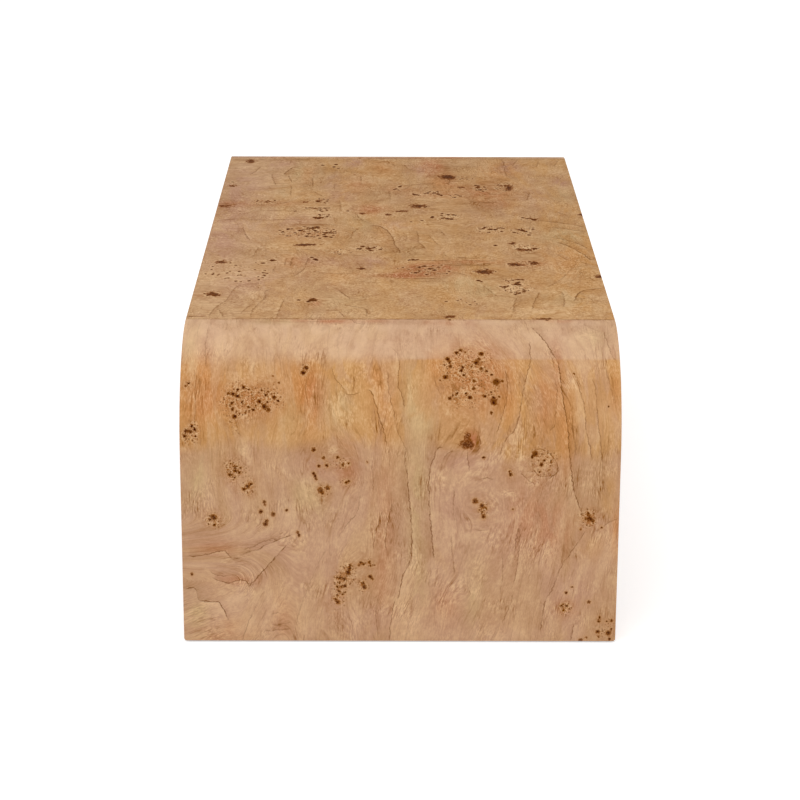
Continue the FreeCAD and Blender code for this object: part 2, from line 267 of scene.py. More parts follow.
# %% Mark the eyes on the near leg
left_eyes = [
    (-238, 153, 1.7), (-231.5, 153.5, 2.4), (-225, 147.5, 1.9), (-225, 157, 2.4), (-217, 144, 2.4),
    (-209.5, 147, 1.3), (-233, 167, 2.0), (-232, 175, 2.0), (-229, 185, 2.9), (-219, 165, 1.6),
    (-210, 172, 1.6), (-203, 176, 1.9), (-199.5, 170, 1.2), (-195, 164, 2.5), (-188, 171, 3.1),
    (-182, 176, 2.5), (-184, 165, 1.3), (-186, 155, 1.7), (-183, 150, 1.4), (-192, 148, 1.4),
    (-174.5, 158, 2.4), (-169, 163, 1.6), (-177, 127, 1.2), (-168, 137, 1.2), (-131, 114, 3.0),
    (-135, 122, 3.2), (-297, 142, 1.3), (-293, 138, 1.4), (-288, 198, 1.9), (-296, 205, 2.1),
    (-290, 206, 2.3), (-284, 203, 2.0), (-298, 212, 2.1), (-283, 212, 1.3), (-229, 256, 2.0),
    (-235, 252, 1.1), (-229, 262, 2.2), (-223, 265, 1.8), (-236, 268, 2.4), (-221, 258, 1.2),
    (-239, 261, 1.1), (-230, 272, 1.2), (-217, 289, 2.3), (-212, 285, 2.8), (-207, 281.5, 1.9),
    (-212, 295, 1.2),
]
middle_eyes = [
    (-120, 231, 2.6), (-106, 243, 1.9), (-113, 255, 1.9), (-102, 254, 2.1), (-87, 242, 1.9),
    (-80, 253, 1.8), (-72, 251, 1.6), (-120, 266, 2.1), (-118, 270, 1.8), (-117, 274, 1.6),
    (-111, 290, 3.4), (-108, 295, 1.7), (-101, 287, 2.7), (-75, 279, 1.9), (-71, 277, 1.4),
    (-189, 308, 2.2), (-188, 312, 1.5), (-194, 322, 2.7), (-177, 326, 2.8), (-158, 320, 1.9),
    (-188, 341, 2.9), (-186, 336, 2.3), (-143, 353, 2.0), (-141, 358, 1.6), (-260, 331, 4.0),
    (-265, 334, 1.8), (-259, 342, 1.9), (-267, 341, 1.1), (-292, 416, 1.9), (-46, 249, 1.0),
    (115, 242, 1.9), (240, 122.5, 1.2), (287, 170, 0.9), (-222, 181, 1.2), (-214, 180, 1.0),
]
right_eyes = [
    (78, 87.5, 2.6), (84, 83, 2.1), (90, 87, 1.3), (65, 99, 2.7), (68, 104, 1.9), (69, 111, 2.3),
    (61, 109, 1.0), (86, 112, 1.9), (84, 118, 2.3), (88, 125, 1.9), (62, 128, 3.0), (55, 133, 1.2),
    (78, 152, 1.9), (90, 152, 1.4), (68, 159, 2.3), (72, 155, 1.1), (96, 158, 2.6), (98, 112, 1.3),
    (102, 134, 2.1), (101, 145, 2.0), (112, 90, 3.1), (105, 105, 3.1), (109, 99, 1.9), (112, 115, 2.1),
    (119, 119, 1.7), (132, 135, 4.0), (126, 124, 1.6), (141, 134, 1.5), (116, 156, 2.1), (129, 165, 3.4),
    (128, 158, 2.1), (125, 179, 1.9), (125, 150, 1.4), (136, 157, 1.3), (186, 236, 3.6), (182, 241, 1.8),
    (195, 252, 2.4), (199, 246, 1.6), (153, 267, 2.0), (151, 262, 1.2), (193, 263, 1.2), (206, 260, 1.0),
    (208, 248, 0.9),
]
low_eyes = [
    (-55, 398, 1.7), (-51, 400, 1.5), (-58, 402, 1.2), (-43, 397, 1.9), (-41, 403, 1.1), (-36, 402, 1.0),
    (-70, 402, 1.9), (-71, 407, 2.4), (-73, 413, 3.2), (-89, 421, 1.1), (-84, 421, 1.9), (-78, 423, 2.6),
    (-85, 428, 1.3), (-82, 434, 1.8), (-77, 433, 2.1), (-88, 434, 1.5), (-86, 441, 1.8), (-81, 446, 1.1),
    (-77, 443, 1.2), (-88, 447, 1.3), (-91, 453, 1.9), (-87, 458, 2.5), (-42, 419, 2.6), (-38, 423, 1.2),
    (-52, 429, 2.3), (-50, 435, 2.9), (104, 306, 3.4), (114, 313, 2.9), (110, 319, 1.1), (114, 322, 1.5),
    (116, 329, 2.7), (119, 317, 1.1), (157, 318, 0.9), (262, 324, 1.9), (264, 331, 2.6), (268, 335, 2.4),
    (258, 332, 1.8), (252, 347, 1.3), (281, 345, 1.3), (234, 443, 1.8), (242, 434, 1.1), (266, 457, 2.1),
    (228, 462, 1.6), (235, 463, 1.7), (231, 469, 1.7), (282, 480, 1.5), (281, 486, 1.9), (292, 486, 1.0),
    (299, 485, 1.8), (280, 502, 2.5), (281, 510, 1.1), (295, 504, 3.3), (299, 498, 1.4), (297, 513, 2.0),
    (264, 511, 1.3), (256, 515, 2.4), (70, 3, 2.0), (208, 4, 2.0),
]
leg_eyes = left_eyes + middle_eyes + right_eyes + low_eyes
print("eyes on the leg:", len(leg_eyes))

# %% [markdown]
# A strong line is its strength, how far its shadow reaches, and its points. A positive reach puts the
# shadow to the left of someone who walks from point to point, and a negative one to the right.

# %% Mark the strong lines on the near leg
leg_edges = [
    (1.0, 15, [(184, 30), (198, 58), (210, 85), (219, 108), (223, 150), (228, 183), (232, 210), (233, 232),
               (237, 262), (241, 290), (251, 318), (256, 334)]),
    (0.5, 6, [(205, 82), (211, 100), (214, 122)]), (0.6, 8, [(236, 192), (240, 217), (243, 240)]),
    (0.5, -6, [(214, 132), (216, 155), (214, 180), (212, 196), (204, 206)]),
    (0.6, 7, [(239, 118), (250, 155), (255, 180), (256, 200), (262, 228), (266, 246)]),
    (0.6, 8, [(266, 128), (270, 152), (272, 190), (277, 227), (280, 262)]),
    (0.4, 6, [(283, 113), (290, 140), (295, 166)]), (0.5, 5, [(285, 40), (288, 60), (293, 87), (299, 104)]),
    (0.4, 4, [(258, 20), (268, 33), (282, 44)]),
    (0.8, -9, [(146, 116), (148, 150), (144, 168), (139, 188), (132, 210)]),
    (0.7, -9, [(180, 66), (180, 103), (173, 130), (168, 158), (164, 180), (157, 203), (145, 217),
               (137, 240)]),
    (0.5, 5, [(44, 118), (48, 136), (57, 158)]),
    (0.6, -6, [(-96, 112), (-92, 128), (-80, 143), (-72, 154), (-55, 151)]),
    (0.8, -8, [(-48, 146), (-40, 151), (-37, 160), (-31, 180), (-23, 205), (-19, 224)]),
    (0.7, 8, [(-12, 78), (-4, 92), (-2, 113), (-4, 140), (2, 155), (6, 174)]),
    (0.5, 10, [(-18, 118), (-16, 150), (-9, 180), (-6, 200), (3, 220), (11, 236)]),
    (0.4, 4, [(-15, 226), (-15, 262)]), (0.4, 4, [(6, 226), (7, 262)]),
    (0.8, 5, [(-229, 184), (-226, 198), (-224, 208), (-219, 212)]),
    (0.5, 7, [(-130, 128), (-131, 150), (-128, 172)]), (0.4, 4, [(-203, 104), (-204, 126)]),
    (0.4, 4, [(-173, 90), (-179, 105)]), (0.5, 6, [(-271, 36), (-272, 76), (-270, 116)]),
    (0.5, 5, [(-286, 116), (-283, 150), (-284, 200)]),
    (0.7, -7, [(100, 199), (107, 208), (110, 221), (107, 231), (102, 235)]),
    (0.6, 4, [(92, 228), (93, 242), (95, 264)]), (0.5, -7, [(55, 262), (60, 244), (68, 234), (78, 232)]),
    (1.0, -7, [(183, 231), (190, 229), (200, 232), (209, 239), (215, 249), (218, 261), (211, 269),
               (202, 274)]),
    (0.9, 4, [(181, 247), (183, 256), (188, 265), (196, 270), (204, 268), (209, 260)]),
    (0.6, 5, [(165, 258), (171, 269), (180, 277), (189, 282)]),
    (0.5, 4, [(103, 279), (112, 274), (120, 272), (131, 275)]),
    (0.4, 3, [(102, 347), (112, 350), (126, 348)]),
    (0.8, -12, [(60, 226), (52, 229), (47, 240), (42, 256), (40, 275), (40, 305), (42, 335), (45, 365),
                (47, 394)]),
    (0.5, -5, [(75, 288), (74, 312), (75, 338)]), (0.5, -5, [(71, 354), (73, 380), (77, 416)]),
    (0.9, -15, [(9, 256), (11, 288), (14, 320), (16, 345), (16, 378), (13, 399), (5, 416), (1, 434),
                (-3, 454)]),
    (0.7, -10, [(-6, 452), (-10, 468), (-13, 490), (-14, 517)]),
    (0.7, 11, [(-11, 308), (-16, 334), (-20, 352), (-20, 388)]),
    (0.5, 8, [(-24, 320), (-31, 342), (-36, 360), (-38, 380)]),
    (0.5, 5, [(-40, 250), (-38, 272), (-38, 294)]),
    (0.5, -6, [(-56, 296), (-60, 322), (-72, 338), (-88, 362)]),
    (0.3, -22, [(-104, 378), (-118, 408), (-131, 440), (-141, 470), (-152, 517)]),
    (0.4, 7, [(-30, 450), (-34, 478), (-30, 517)]), (0.6, 6, [(169, 338), (163, 356), (160, 384)]),
    (0.6, -6, [(167, 344), (166, 376), (164, 402), (160, 430)]),
    (0.4, 6, [(143, 380), (144, 410), (141, 446)]), (0.5, -5, [(160, 440), (153, 468), (144, 490)]),
    (0.7, -11, [(259, 350), (249, 366), (240, 381), (227, 401), (220, 421), (213, 440), (204, 456),
                (201, 482), (199, 502)]),
    (0.7, -5, [(246, 488), (244, 504), (241, 517)]),
    (0.5, -5, [(306, 330), (292, 336), (281, 346), (268, 352)]),
    (0.8, 11, [(-298, 389), (-284, 389), (-270, 386), (-252, 381), (-243, 382), (-239, 389), (-234, 393),
               (-222, 391)]),
    (0.8, 9, [(-224, 388), (-211, 382), (-198, 379), (-186, 371), (-170, 364), (-150, 356)]),
    (0.5, 6, [(-220, 379), (-205, 374), (-192, 367), (-172, 361)]),
    (0.9, -9, [(-214, 436), (-204, 425), (-192, 411), (-182, 399), (-170, 385), (-157, 370)]),
    (0.5, 10, [(-268, 410), (-258, 417), (-244, 418), (-224, 416)]),
    (0.8, 12, [(-264, 420), (-254, 426), (-240, 429), (-226, 425), (-216, 427), (-211, 437)]),
    (0.9, 7, [(-305, 438), (-289, 437), (-285, 445), (-282, 455), (-270, 457), (-256, 458), (-248, 469),
              (-242, 486)]),
    (0.4, -10, [(-199, 458), (-208, 475), (-216, 495), (-222, 517)]),
    (0.5, 5, [(-182, 477), (-174, 474), (-168, 475)]), (0.5, 8, [(-182, 493), (-168, 492), (-153, 487)]),
    (0.5, 7, [(-192, 503), (-172, 500), (-152, 499)]), (0.6, 3, [(-70, 2), (-64, 16), (-52, 22)]),
    (0.4, 3, [(-180, 11), (-150, 15), (-112, 11)]),
    (1.0, 2, [(-306, 0.6), (-150, 0.8), (4, 0.6), (60, 0.8)]),
    (0.8, 2, [(120, 0.6), (210, 0.9), (306, 0.7)]),
]
print("strong lines on the leg:", len(leg_edges))

# %% [markdown]
# The line through the points is a Catmull-Rom curve: over each span it blends the four nearest points with
# cubic weights, so it passes through all of them without a corner.

# %% Curves through chalked points
def smooth_line(points, pieces=6):
    """Catmull-Rom, with A, B, C and D in a row and t from 0 to 1 over every span from B to C.

    0.5 (2B + (C - A) t + (2A - 5B + 4C - D) t^2 + (3B - 3C + D - A) t^3)
    """
    p = np.array(points, float)
    p = np.concatenate([[2 * p[0] - p[1]], p, [2 * p[-1] - p[-2]]])
    a, b, c, d = (p[i:len(p) - 3 + i, None] for i in range(4))
    t = np.linspace(0, 1, pieces, endpoint=False)[None, :, None]
    spans = 0.5 * (2 * b + (c - a) * t + (2 * a - 5 * b + 4 * c - d) * t**2 + (3 * b - 3 * c + d - a) * t**3)
    return np.concatenate([spans.reshape(-1, 2), p[-2:-1]])


def edge_reading(here, line):
    """For points near one curve: signed distance, plus on the left of the walk, and the way to an end."""
    start, step = line[:-1], np.diff(line, axis=0)
    length = np.hypot(*step.T)
    offset = here[:, None] - start
    share = np.clip((offset * step).sum(-1) / length**2, 0, 1)
    apart = offset - share[..., None] * step
    pick = np.hypot(apart[..., 0], apart[..., 1]).argmin(1)
    row = np.arange(len(here))
    apart, step, share = apart[row, pick], step[pick], share[row, pick]
    gap = np.hypot(*apart.T)
    left = step[:, 1] * apart[:, 0] - step[:, 0] * apart[:, 1] > 0
    walked = np.concatenate([[0], np.cumsum(length)])
    place = walked[pick] + share * length[pick]
    return np.where(left, gap, -gap), np.minimum(place, walked[-1] - place)


# %% [markdown]
# The way to the nearest mark is exact between grid points as long as they agree on which mark that is.
# Where they don't, halfway between two marks, the blended way passes through nothing and would draw a
# false one. The plain distance is stored too. It stays large there, so the shader draws only where the
# two agree. A point with no line within line_room, or no eye within eye_room, keeps a way that draws
# nothing.

# %% Readings of the marks at every point
line_room = 34.0
line_fade = 7.0
shadow_start = (-1.0, 1.5)
no_line = (line_room, line_room, 0.0)
eye_room = 120.0
no_eye = (90.0, 90.0, 1.0)


def nearest_edges(flat, edges, squash):
    """To the nearest strong line: signed distance (plus is its shadow side), plain distance and strength.

    The second result is every line's shadow together: strength x exp(-distance / reach) on its own side.
    """
    here = flat * (millimetres, millimetres * squash)
    way = np.tile(no_line, (len(flat), 1))
    shadow = np.zeros(len(flat))
    for strength, reach, points in edges:
        line = smooth_line(points) * (1, squash)
        inside = np.all((here > line.min(0) - line_room) & (here < line.max(0) + line_room), axis=1)
        near = np.flatnonzero(inside)
        signed, to_end = edge_reading(here[near], line)
        signed = signed * np.sign(reach)
        gap = np.abs(signed)
        force = strength * rise(to_end, -1.0, line_fade)
        fading = np.exp(-gap / abs(reach)) * rise(gap, line_room, line_room / 2)
        shadow[near] += force * rise(signed, *shadow_start) * fading
        closer = near[gap < way[near, 1]]
        way[closer] = np.stack([signed, gap, force], -1)[gap < way[near, 1]]
    return way, np.clip(shadow, 0, 1)


def nearest_eye(flat, eyes, squash):
    """The way to the eye whose rim is nearest with that eye's radius, and the plain distance, in mm."""
    here = flat * (millimetres, millimetres * squash)
    way = np.tile(no_eye, (len(flat), 1))
    gap = np.full(len(flat), eye_room)
    for across, along, radius in eyes:
        offset = here - (across, along * squash)
        distance = np.hypot(*offset.T)
        nearer = distance - radius < gap - way[:, 2]
        gap[nearer] = distance[nearer]
        way[nearer] = np.column_stack([offset, np.full(len(here), radius)])[nearer]
    return way, gap


def store(mesh, name, values):
    """Keeps one number, or one vector, for each point of a mesh."""
    values = np.asarray(values, np.float32)
    kind, field = ("FLOAT_VECTOR", "vector") if values.ndim == 2 else ("FLOAT", "value")
    mesh.attributes.new(name, kind, "POINT").data.foreach_set(field, values.ravel())


# %% [markdown]
# Clusters are ellipses: place, half size each way, how crowded, and a tilt. They part the growth lines
# and brown the wood between their eyes, and both reach a margin further than the ellipse. Tints are
# ellipses too, with a strength: amber, olive, russet and mauve wood, cream flecks, the solid brown of
# knots, and shade, which darkens where it is positive and lightens where it is negative. The sways bend
# the growth lines: how far, and the size of that bend across and along, in millimetres.

# %% Fields from clusters and tints
crowd_margin = 7
parting_margin = (20, 30)
parting_stretch = 1.3
parting_push = 0.6
sways = ((38, 160, 330), (15, 62, 140), (4.5, 24, 50))


def crowd(flat, clusters, seed):
    """1 inside the clusters, falling off round them, with an uneven edge."""
    u, v = in_millimetres(flat)
    full = np.zeros(len(flat))
    for across, along, half_across, half_along, much, tilt in clusters:
        reach = (half_across + crowd_margin, half_along + crowd_margin)
        full = np.maximum(full, much * spot(u, v, (across, along), reach, tilt))
    return np.clip(full * (1 + 0.5 * cloud(u, v, 11, 14, seed)), 0, 1)


def parted(flat, clusters, seed, sway):
    """Height of the growth lines, in m: across, bent by three clouds and pushed apart round the clusters."""
    u, v = in_millimetres(flat)
    height = u
    for number, (far, size_across, size_along) in enumerate(sways):
        height = height + sway * far * cloud(u, v, size_across, size_along, seed + number)
    for across, along, half_across, half_along, much, tilt in clusters:
        reach = (half_across + parting_margin[0], half_along * parting_stretch + parting_margin[1])
        height = height - parting_push * much * (u - across) * spot(u, v, (across, along), reach, tilt)
    return height / millimetres


def tints(flat, spots):
    """Soft patches of one tint, added up: place, reach each way and strength, in mm."""
    u, v = in_millimetres(flat)
    total = np.zeros(len(flat))
    for across, along, reach_across, reach_along, strength in spots:
        total = total + strength * spot(u, v, (across, along), (reach_across, reach_along))
    return total


# %% Store the whole figure on a sheet
def all_tones(flat, straw, pale, spots):
    """The golden and the pale field, and every marked tint."""
    return {"straw": straw, "pale": pale, **{name: tints(flat, marked) for name, marked in spots.items()}}


def paint_figure(sheet, flat, marks, tones, growth, seed, squash=1.0):
    """Stores eyes, strong lines, growth lines, crowding and every tint on a sheet."""
    eyes, edges, clusters = marks
    mesh = sheet.data
    eye_way, eye_gap = nearest_eye(flat, eyes, squash)
    edge_way, shadow = nearest_edges(flat, edges, squash)
    drawn = {"eye_way": eye_way, "eye_gap": eye_gap, "edge_way": edge_way, "shadow": shadow,
             "growth": growth, "crowd": crowd(flat, clusters, seed + 5)}
    for name, values in {**drawn, **tones}.items():
        store(mesh, name, values)
    print(sheet.name, "eyes:", len(eyes), "lines:", len(edges), "faces:", len(mesh.polygons))


# %% [markdown]
# ## Lay the three sheets that face up and out
# On the legs a pale, pinkish band runs over the shoulder and stops at a straight line, where the sheet
# turns amber and then slowly brown. The band is partly the sheet's own tone and partly a painted sheen,
# the overhead light caught on the bend. The far leg is the next leaf off the same log, laid like the other
# page of a book, so it reads the same marks with left and right exchanged.

# %% Mark the clusters and tints on the legs
leg_clusters = [
    (-206, 160, 36, 24, 0.9, 0), (-230, 190, 6, 22, 0.5, 0), (-133, 118, 6, 9, 0.5, 0),
    (-291, 207, 10, 12, 0.8, 0), (-295, 140, 5, 6, 0.4, 0), (-230, 262, 12, 13, 0.8, 0),
    (-212, 287, 9, 9, 0.8, 0), (-114, 250, 12, 14, 0.5, 0), (-80, 250, 16, 10, 0.5, 0),
    (-107, 290, 9, 7, 0.5, 0), (-74, 279, 7, 7, 0.5, 0), (-262, 334, 9, 9, 0.7, 0),
    (-81, 430, 9, 34, 0.9, 17), (-47, 399, 12, 5, 0.5, 0), (-49, 430, 9, 10, 0.6, 0),
    (95, 125, 38, 46, 0.75, 0), (112, 318, 8, 13, 0.6, -25), (197, 250, 20, 20, 0.7, 0),
    (151, 266, 6, 7, 0.4, 0), (263, 331, 10, 9, 0.9, 0), (231, 466, 9, 8, 0.6, 0),
    (289, 494, 14, 18, 0.4, 0),
]
leg_spots = {
    "amber": [
        (-278, 150, 28, 46, 0.9), (-128, 156, 18, 44, 0.9), (-205, 160, 34, 22, 0.6),
        (150, 155, 12, 40, 0.5), (100, 120, 42, 44, 0.6), (228, 205, 12, 60, 0.6), (297, 140, 9, 40, 0.45),
        (301, 350, 7, 34, 0.6), (-22, 170, 14, 50, 0.25), (-36, 125, 12, 20, 0.4), (120, 165, 18, 20, 0.4),
        (48, 112, 10, 20, 0.4), (-160, 132, 22, 28, 0.4), (100, 112, 36, 16, 0.3), (-80, 226, 16, 12, 0.35),
    ],
    "olive": [
        (-284, 270, 16, 36, 0.7), (-130, 300, 30, 36, 0.5), (24, 300, 16, 110, 0.55),
        (104, 440, 16, 60, 0.5), (-286, 475, 16, 34, 0.6), (30, 440, 14, 40, 0.3), (270, 60, 24, 26, 0.4),
        (-292, 60, 10, 50, 0.5), (-175, 10, 40, 12, 0.6), (16, 160, 12, 44, 0.6), (-85, 172, 20, 28, 0.6),
        (-150, 186, 14, 22, 0.6), (36, 196, 14, 18, 0.4),
    ],
    "russet": [
        (-24, 330, 18, 90, 0.3), (-26, 430, 14, 60, 0.22), (185, 330, 36, 50, 0.45),
        (220, 360, 20, 40, 0.3), (-150, 8, 60, 7, 0.35), (-40, 8, 26, 8, 0.4), (60, 14, 40, 14, 0.35),
        (220, 8, 30, 8, 0.4), (-22, 150, 16, 60, 0.15), (218, 120, 8, 60, 0.35), (198, 165, 16, 50, 0.5),
        (-258, 376, 34, 10, 0.4), (-225, 424, 30, 8, 0.4), (-72, 262, 14, 18, 0.45),
        (60, 462, 22, 26, 0.35), (-165, 480, 18, 40, 0.25), (232, 466, 14, 12, 0.5),
        (125, 120, 30, 40, 0.35), (-250, 505, 40, 22, 0.3), (100, 217, 10, 14, 0.9),
        (-117, 155, 14, 34, 0.5), (-96, 12, 26, 10, 0.6), (-206, 164, 32, 20, 0.6),
        (-270, 160, 22, 30, 0.3), (95, 125, 30, 36, 0.35),
    ],
    "cream": [
        (197, 250, 15, 17, 0.8), (183, 274, 9, 12, 0.6), (150, 294, 14, 6, 0.5), (166, 240, 8, 10, 0.5),
        (-95, 233, 12, 8, 0.5), (-217, 234, 4, 12, 0.6), (-90, 26, 8, 6, 0.5), (262, 52, 16, 12, 0.4),
        (-124, 285, 16, 16, 0.3), (-210, 130, 40, 14, 0.25), (165, 262, 8, 8, 0.4),
    ],
    "knot": [
        (90, 223, 10, 6, 1.0), (93, 211, 5, 6, 0.9), (97, 225, 4, 5, 0.6), (264, 331, 8, 8, 0.55),
        (186, 237, 5, 5, 0.6), (132, 136, 7, 6, 0.72), (129, 164, 6, 7, 0.75), (107, 105, 7, 4, 0.55),
        (112, 90, 4, 4, 0.6), (63, 128, 5, 3, 0.6), (66, 99, 4, 4, 0.6), (96, 158, 4, 4, 0.5),
        (116, 156, 5, 4, 0.42), (102, 142, 4, 7, 0.38), (112, 117, 6, 4, 0.4), (-188, 170, 5, 4, 0.5),
        (-196, 164, 4, 4, 0.5), (195, 252, 4, 4, 0.38),
    ],
    "shade": [
        (-200, 14, 24, 10, 0.25), (-20, 14, 40, 10, 0.28), (40, 15, 20, 10, 0.15), (-120, 15, 20, 10, 0.1),
        (-290, 55, 16, 40, -0.14), (-120, 50, 26, 24, -0.12), (0, 50, 20, 24, 0.12),
        (200, 62, 18, 34, -0.14), (-240, 80, 24, 14, -0.1), (40, 170, 18, 50, 0.16),
        (-120, 160, 22, 60, 0.16), (-40, 190, 18, 30, 0.12), (200, 165, 20, 50, 0.2),
        (-200, 190, 20, 12, 0.12), (240, 135, 18, 32, -0.24), (80, 108, 16, 10, -0.12),
        (-120, 230, 24, 16, 0.28), (-160, 232, 20, 14, 0.12), (-80, 228, 20, 14, 0.1),
        (200, 284, 24, 38, 0.24), (165, 310, 16, 24, 0.14), (120, 290, 24, 32, 0.1),
        (286, 290, 16, 34, 0.24), (-150, 310, 24, 22, -0.14), (-80, 312, 14, 16, -0.12),
        (6, 458, 18, 60, -0.3), (-215, 482, 50, 34, -0.12), (-285, 352, 24, 24, 0.14),
        (42, 505, 16, 12, -0.14), (140, 507, 60, 10, -0.12), (197, 252, 14, 16, -0.25),
        (-78, 412, 16, 24, -0.1), (62, 350, 20, 40, -0.06), (160, 115, 16, 20, -0.12),
        (96, 130, 30, 36, 0.12), (-206, 165, 32, 20, 0.12), (-20, 350, 18, 60, 0.06), (2, 165, 6, 40, 0.14),
        (-70, 262, 12, 18, 0.2), (-70, 128, 12, 14, 0.1), (-90, 180, 24, 24, -0.08),
        (16, 160, 10, 34, -0.14), (-200, 150, 22, 14, 0.15), (240, 230, 16, 18, 0.1),
        (42, 232, 14, 14, -0.12), (-205, 432, 34, 18, -0.1), (-120, 430, 16, 16, -0.08),
        (-200, 350, 20, 12, -0.08),
    ],
    "mauve": [
        (-95, 258, 40, 18, 0.6), (90, 250, 40, 14, 0.4), (70, 320, 26, 40, 0.2), (250, 445, 30, 30, 0.4),
        (150, 380, 40, 60, 0.15),
    ],
}
leg_marks = (leg_eyes, leg_edges, leg_clusters)
print("clusters on the leg:", len(leg_clusters), "tints:", ", ".join(leg_spots))

# %% [markdown]
# The fields of a leg are written as sums of rises and spots, in millimetres. band_end is the straight line
# where the pale band, partly its own tone and partly a painted sheen, stops and the golden one starts,
# crisp on the right and blurred on the left.

# %% Growth and tones of a leg
band_end = 99


def leg_growth(flat, seed):
    """Down the leg, swinging out on the right, and turning to lie across at the lower left."""
    u, v = in_millimetres(flat)
    outward = 46 * rise(v, 20, 230) * spot(u, v, (215, 230), (110, 260))
    outward = outward - 12 * rise(v, 370, 500) * spot(u, v, (20, 450), (140, 200))
    down = parted(flat, leg_clusters, seed, 0.8) - outward / millimetres
    lying = 0.7 * (300 - v - 0.45 * u) / millimetres
    share = rise(v, 330, 430) * rise(-u, 110, 230)
    return down * (1 - share) + lying * share


def band_blur(u):
    """Half the width of the blur at the band's end: 3 mm on the right, growing to 15 mm on the left."""
    return 3 + 12 * rise(-u, -20, 40)


def leg_straw(flat, seed):
    """The golden band, from the pale band's end to a ragged end near 220 mm, with a faint rest below."""
    u, v = in_millimetres(flat)
    lower = 222 + 10 * cloud(u, v, 30, 400, seed) + 20 * rise(u, -60, 240)
    blur = band_blur(u)
    weaker_left = 1 - 0.4 * rise(-u, 60, 180) * (1 - rise(v, 103, 132))
    start = rise(v, band_end - blur, band_end + blur) * weaker_left
    band = start * (0.2 * (1 - rise(v, 230, 330)) + 0.8 * (1 - rise(v, lower - 14, lower + 12)))
    patchy = 0.85 + 0.3 * cloud(u, v, 50, 90, seed + 1)
    low_corner = 0.7 * spot(u, v, (292, 300), (12, 30)) + 0.4 * spot(u, v, (268, 372), (28, 26))
    return np.clip(band * patchy + low_corner, 0, 1)


def leg_pale_band_and_sheen(flat, seed):
    """The shoulder's band, full from 9 mm past the seam, weaker at the sides, and two drifts low down."""
    u, v = in_millimetres(flat)
    blur = band_blur(u)
    fade = 1 - 0.5 * rise(v, 40, 96) * rise(-u, 110, 190) - 0.3 * rise(v, 60, 96) * rise(u, 150, 240)
    # The band is partly the sheet's own pale tone and partly a painted sheen, the overhead light on the
    # bend.
    body = rise(v, 2, 9) * (1 - rise(v, band_end - blur, band_end + blur)) * fade
    drift = 0.86 - 0.16 * rise(u, -20, 60) + 0.3 * cloud(u, v, 60, 30, seed)
    drift = drift + 0.12 * cloud(u, v, 22, 18, seed + 1)
    low = 0.45 * spot(u, v, (-210, 482), (110, 44)) + 0.4 * spot(u, v, (140, 508), (60, 14))
    return np.clip(body * drift * (1 - 0.4 * rise(u, 260, 305)) + low, 0, 1)


# %% Lay the legs
leg_seed = 11
bottom_rows = leg_length - np.linspace(0, corner_radius, 7)[1:-1]


def lay_leg(name, mirrored):
    """One leg's sheet and its figure. The mirrored one reads the marks as a facing page, left for right."""
    leg, flat = lay_sheet(name, leg_path, leg_width, leg_length, leg_pitch, mirrored, bottom_rows)
    read = flat * (-1, 1) if mirrored else flat
    # pale holds the shoulder's band: the sheet's own tone with a painted sheen in it.
    straw, pale = leg_straw(read, leg_seed + 1), leg_pale_band_and_sheen(read, leg_seed + 3)
    tones = all_tones(read, straw, pale, leg_spots)
    paint_figure(leg, read, leg_marks, tones, leg_growth(read, leg_seed), leg_seed)
    return leg


near_leg = lay_leg("front_burl_face", mirrored=False)
far_leg = lay_leg("back_burl_face", mirrored=True)
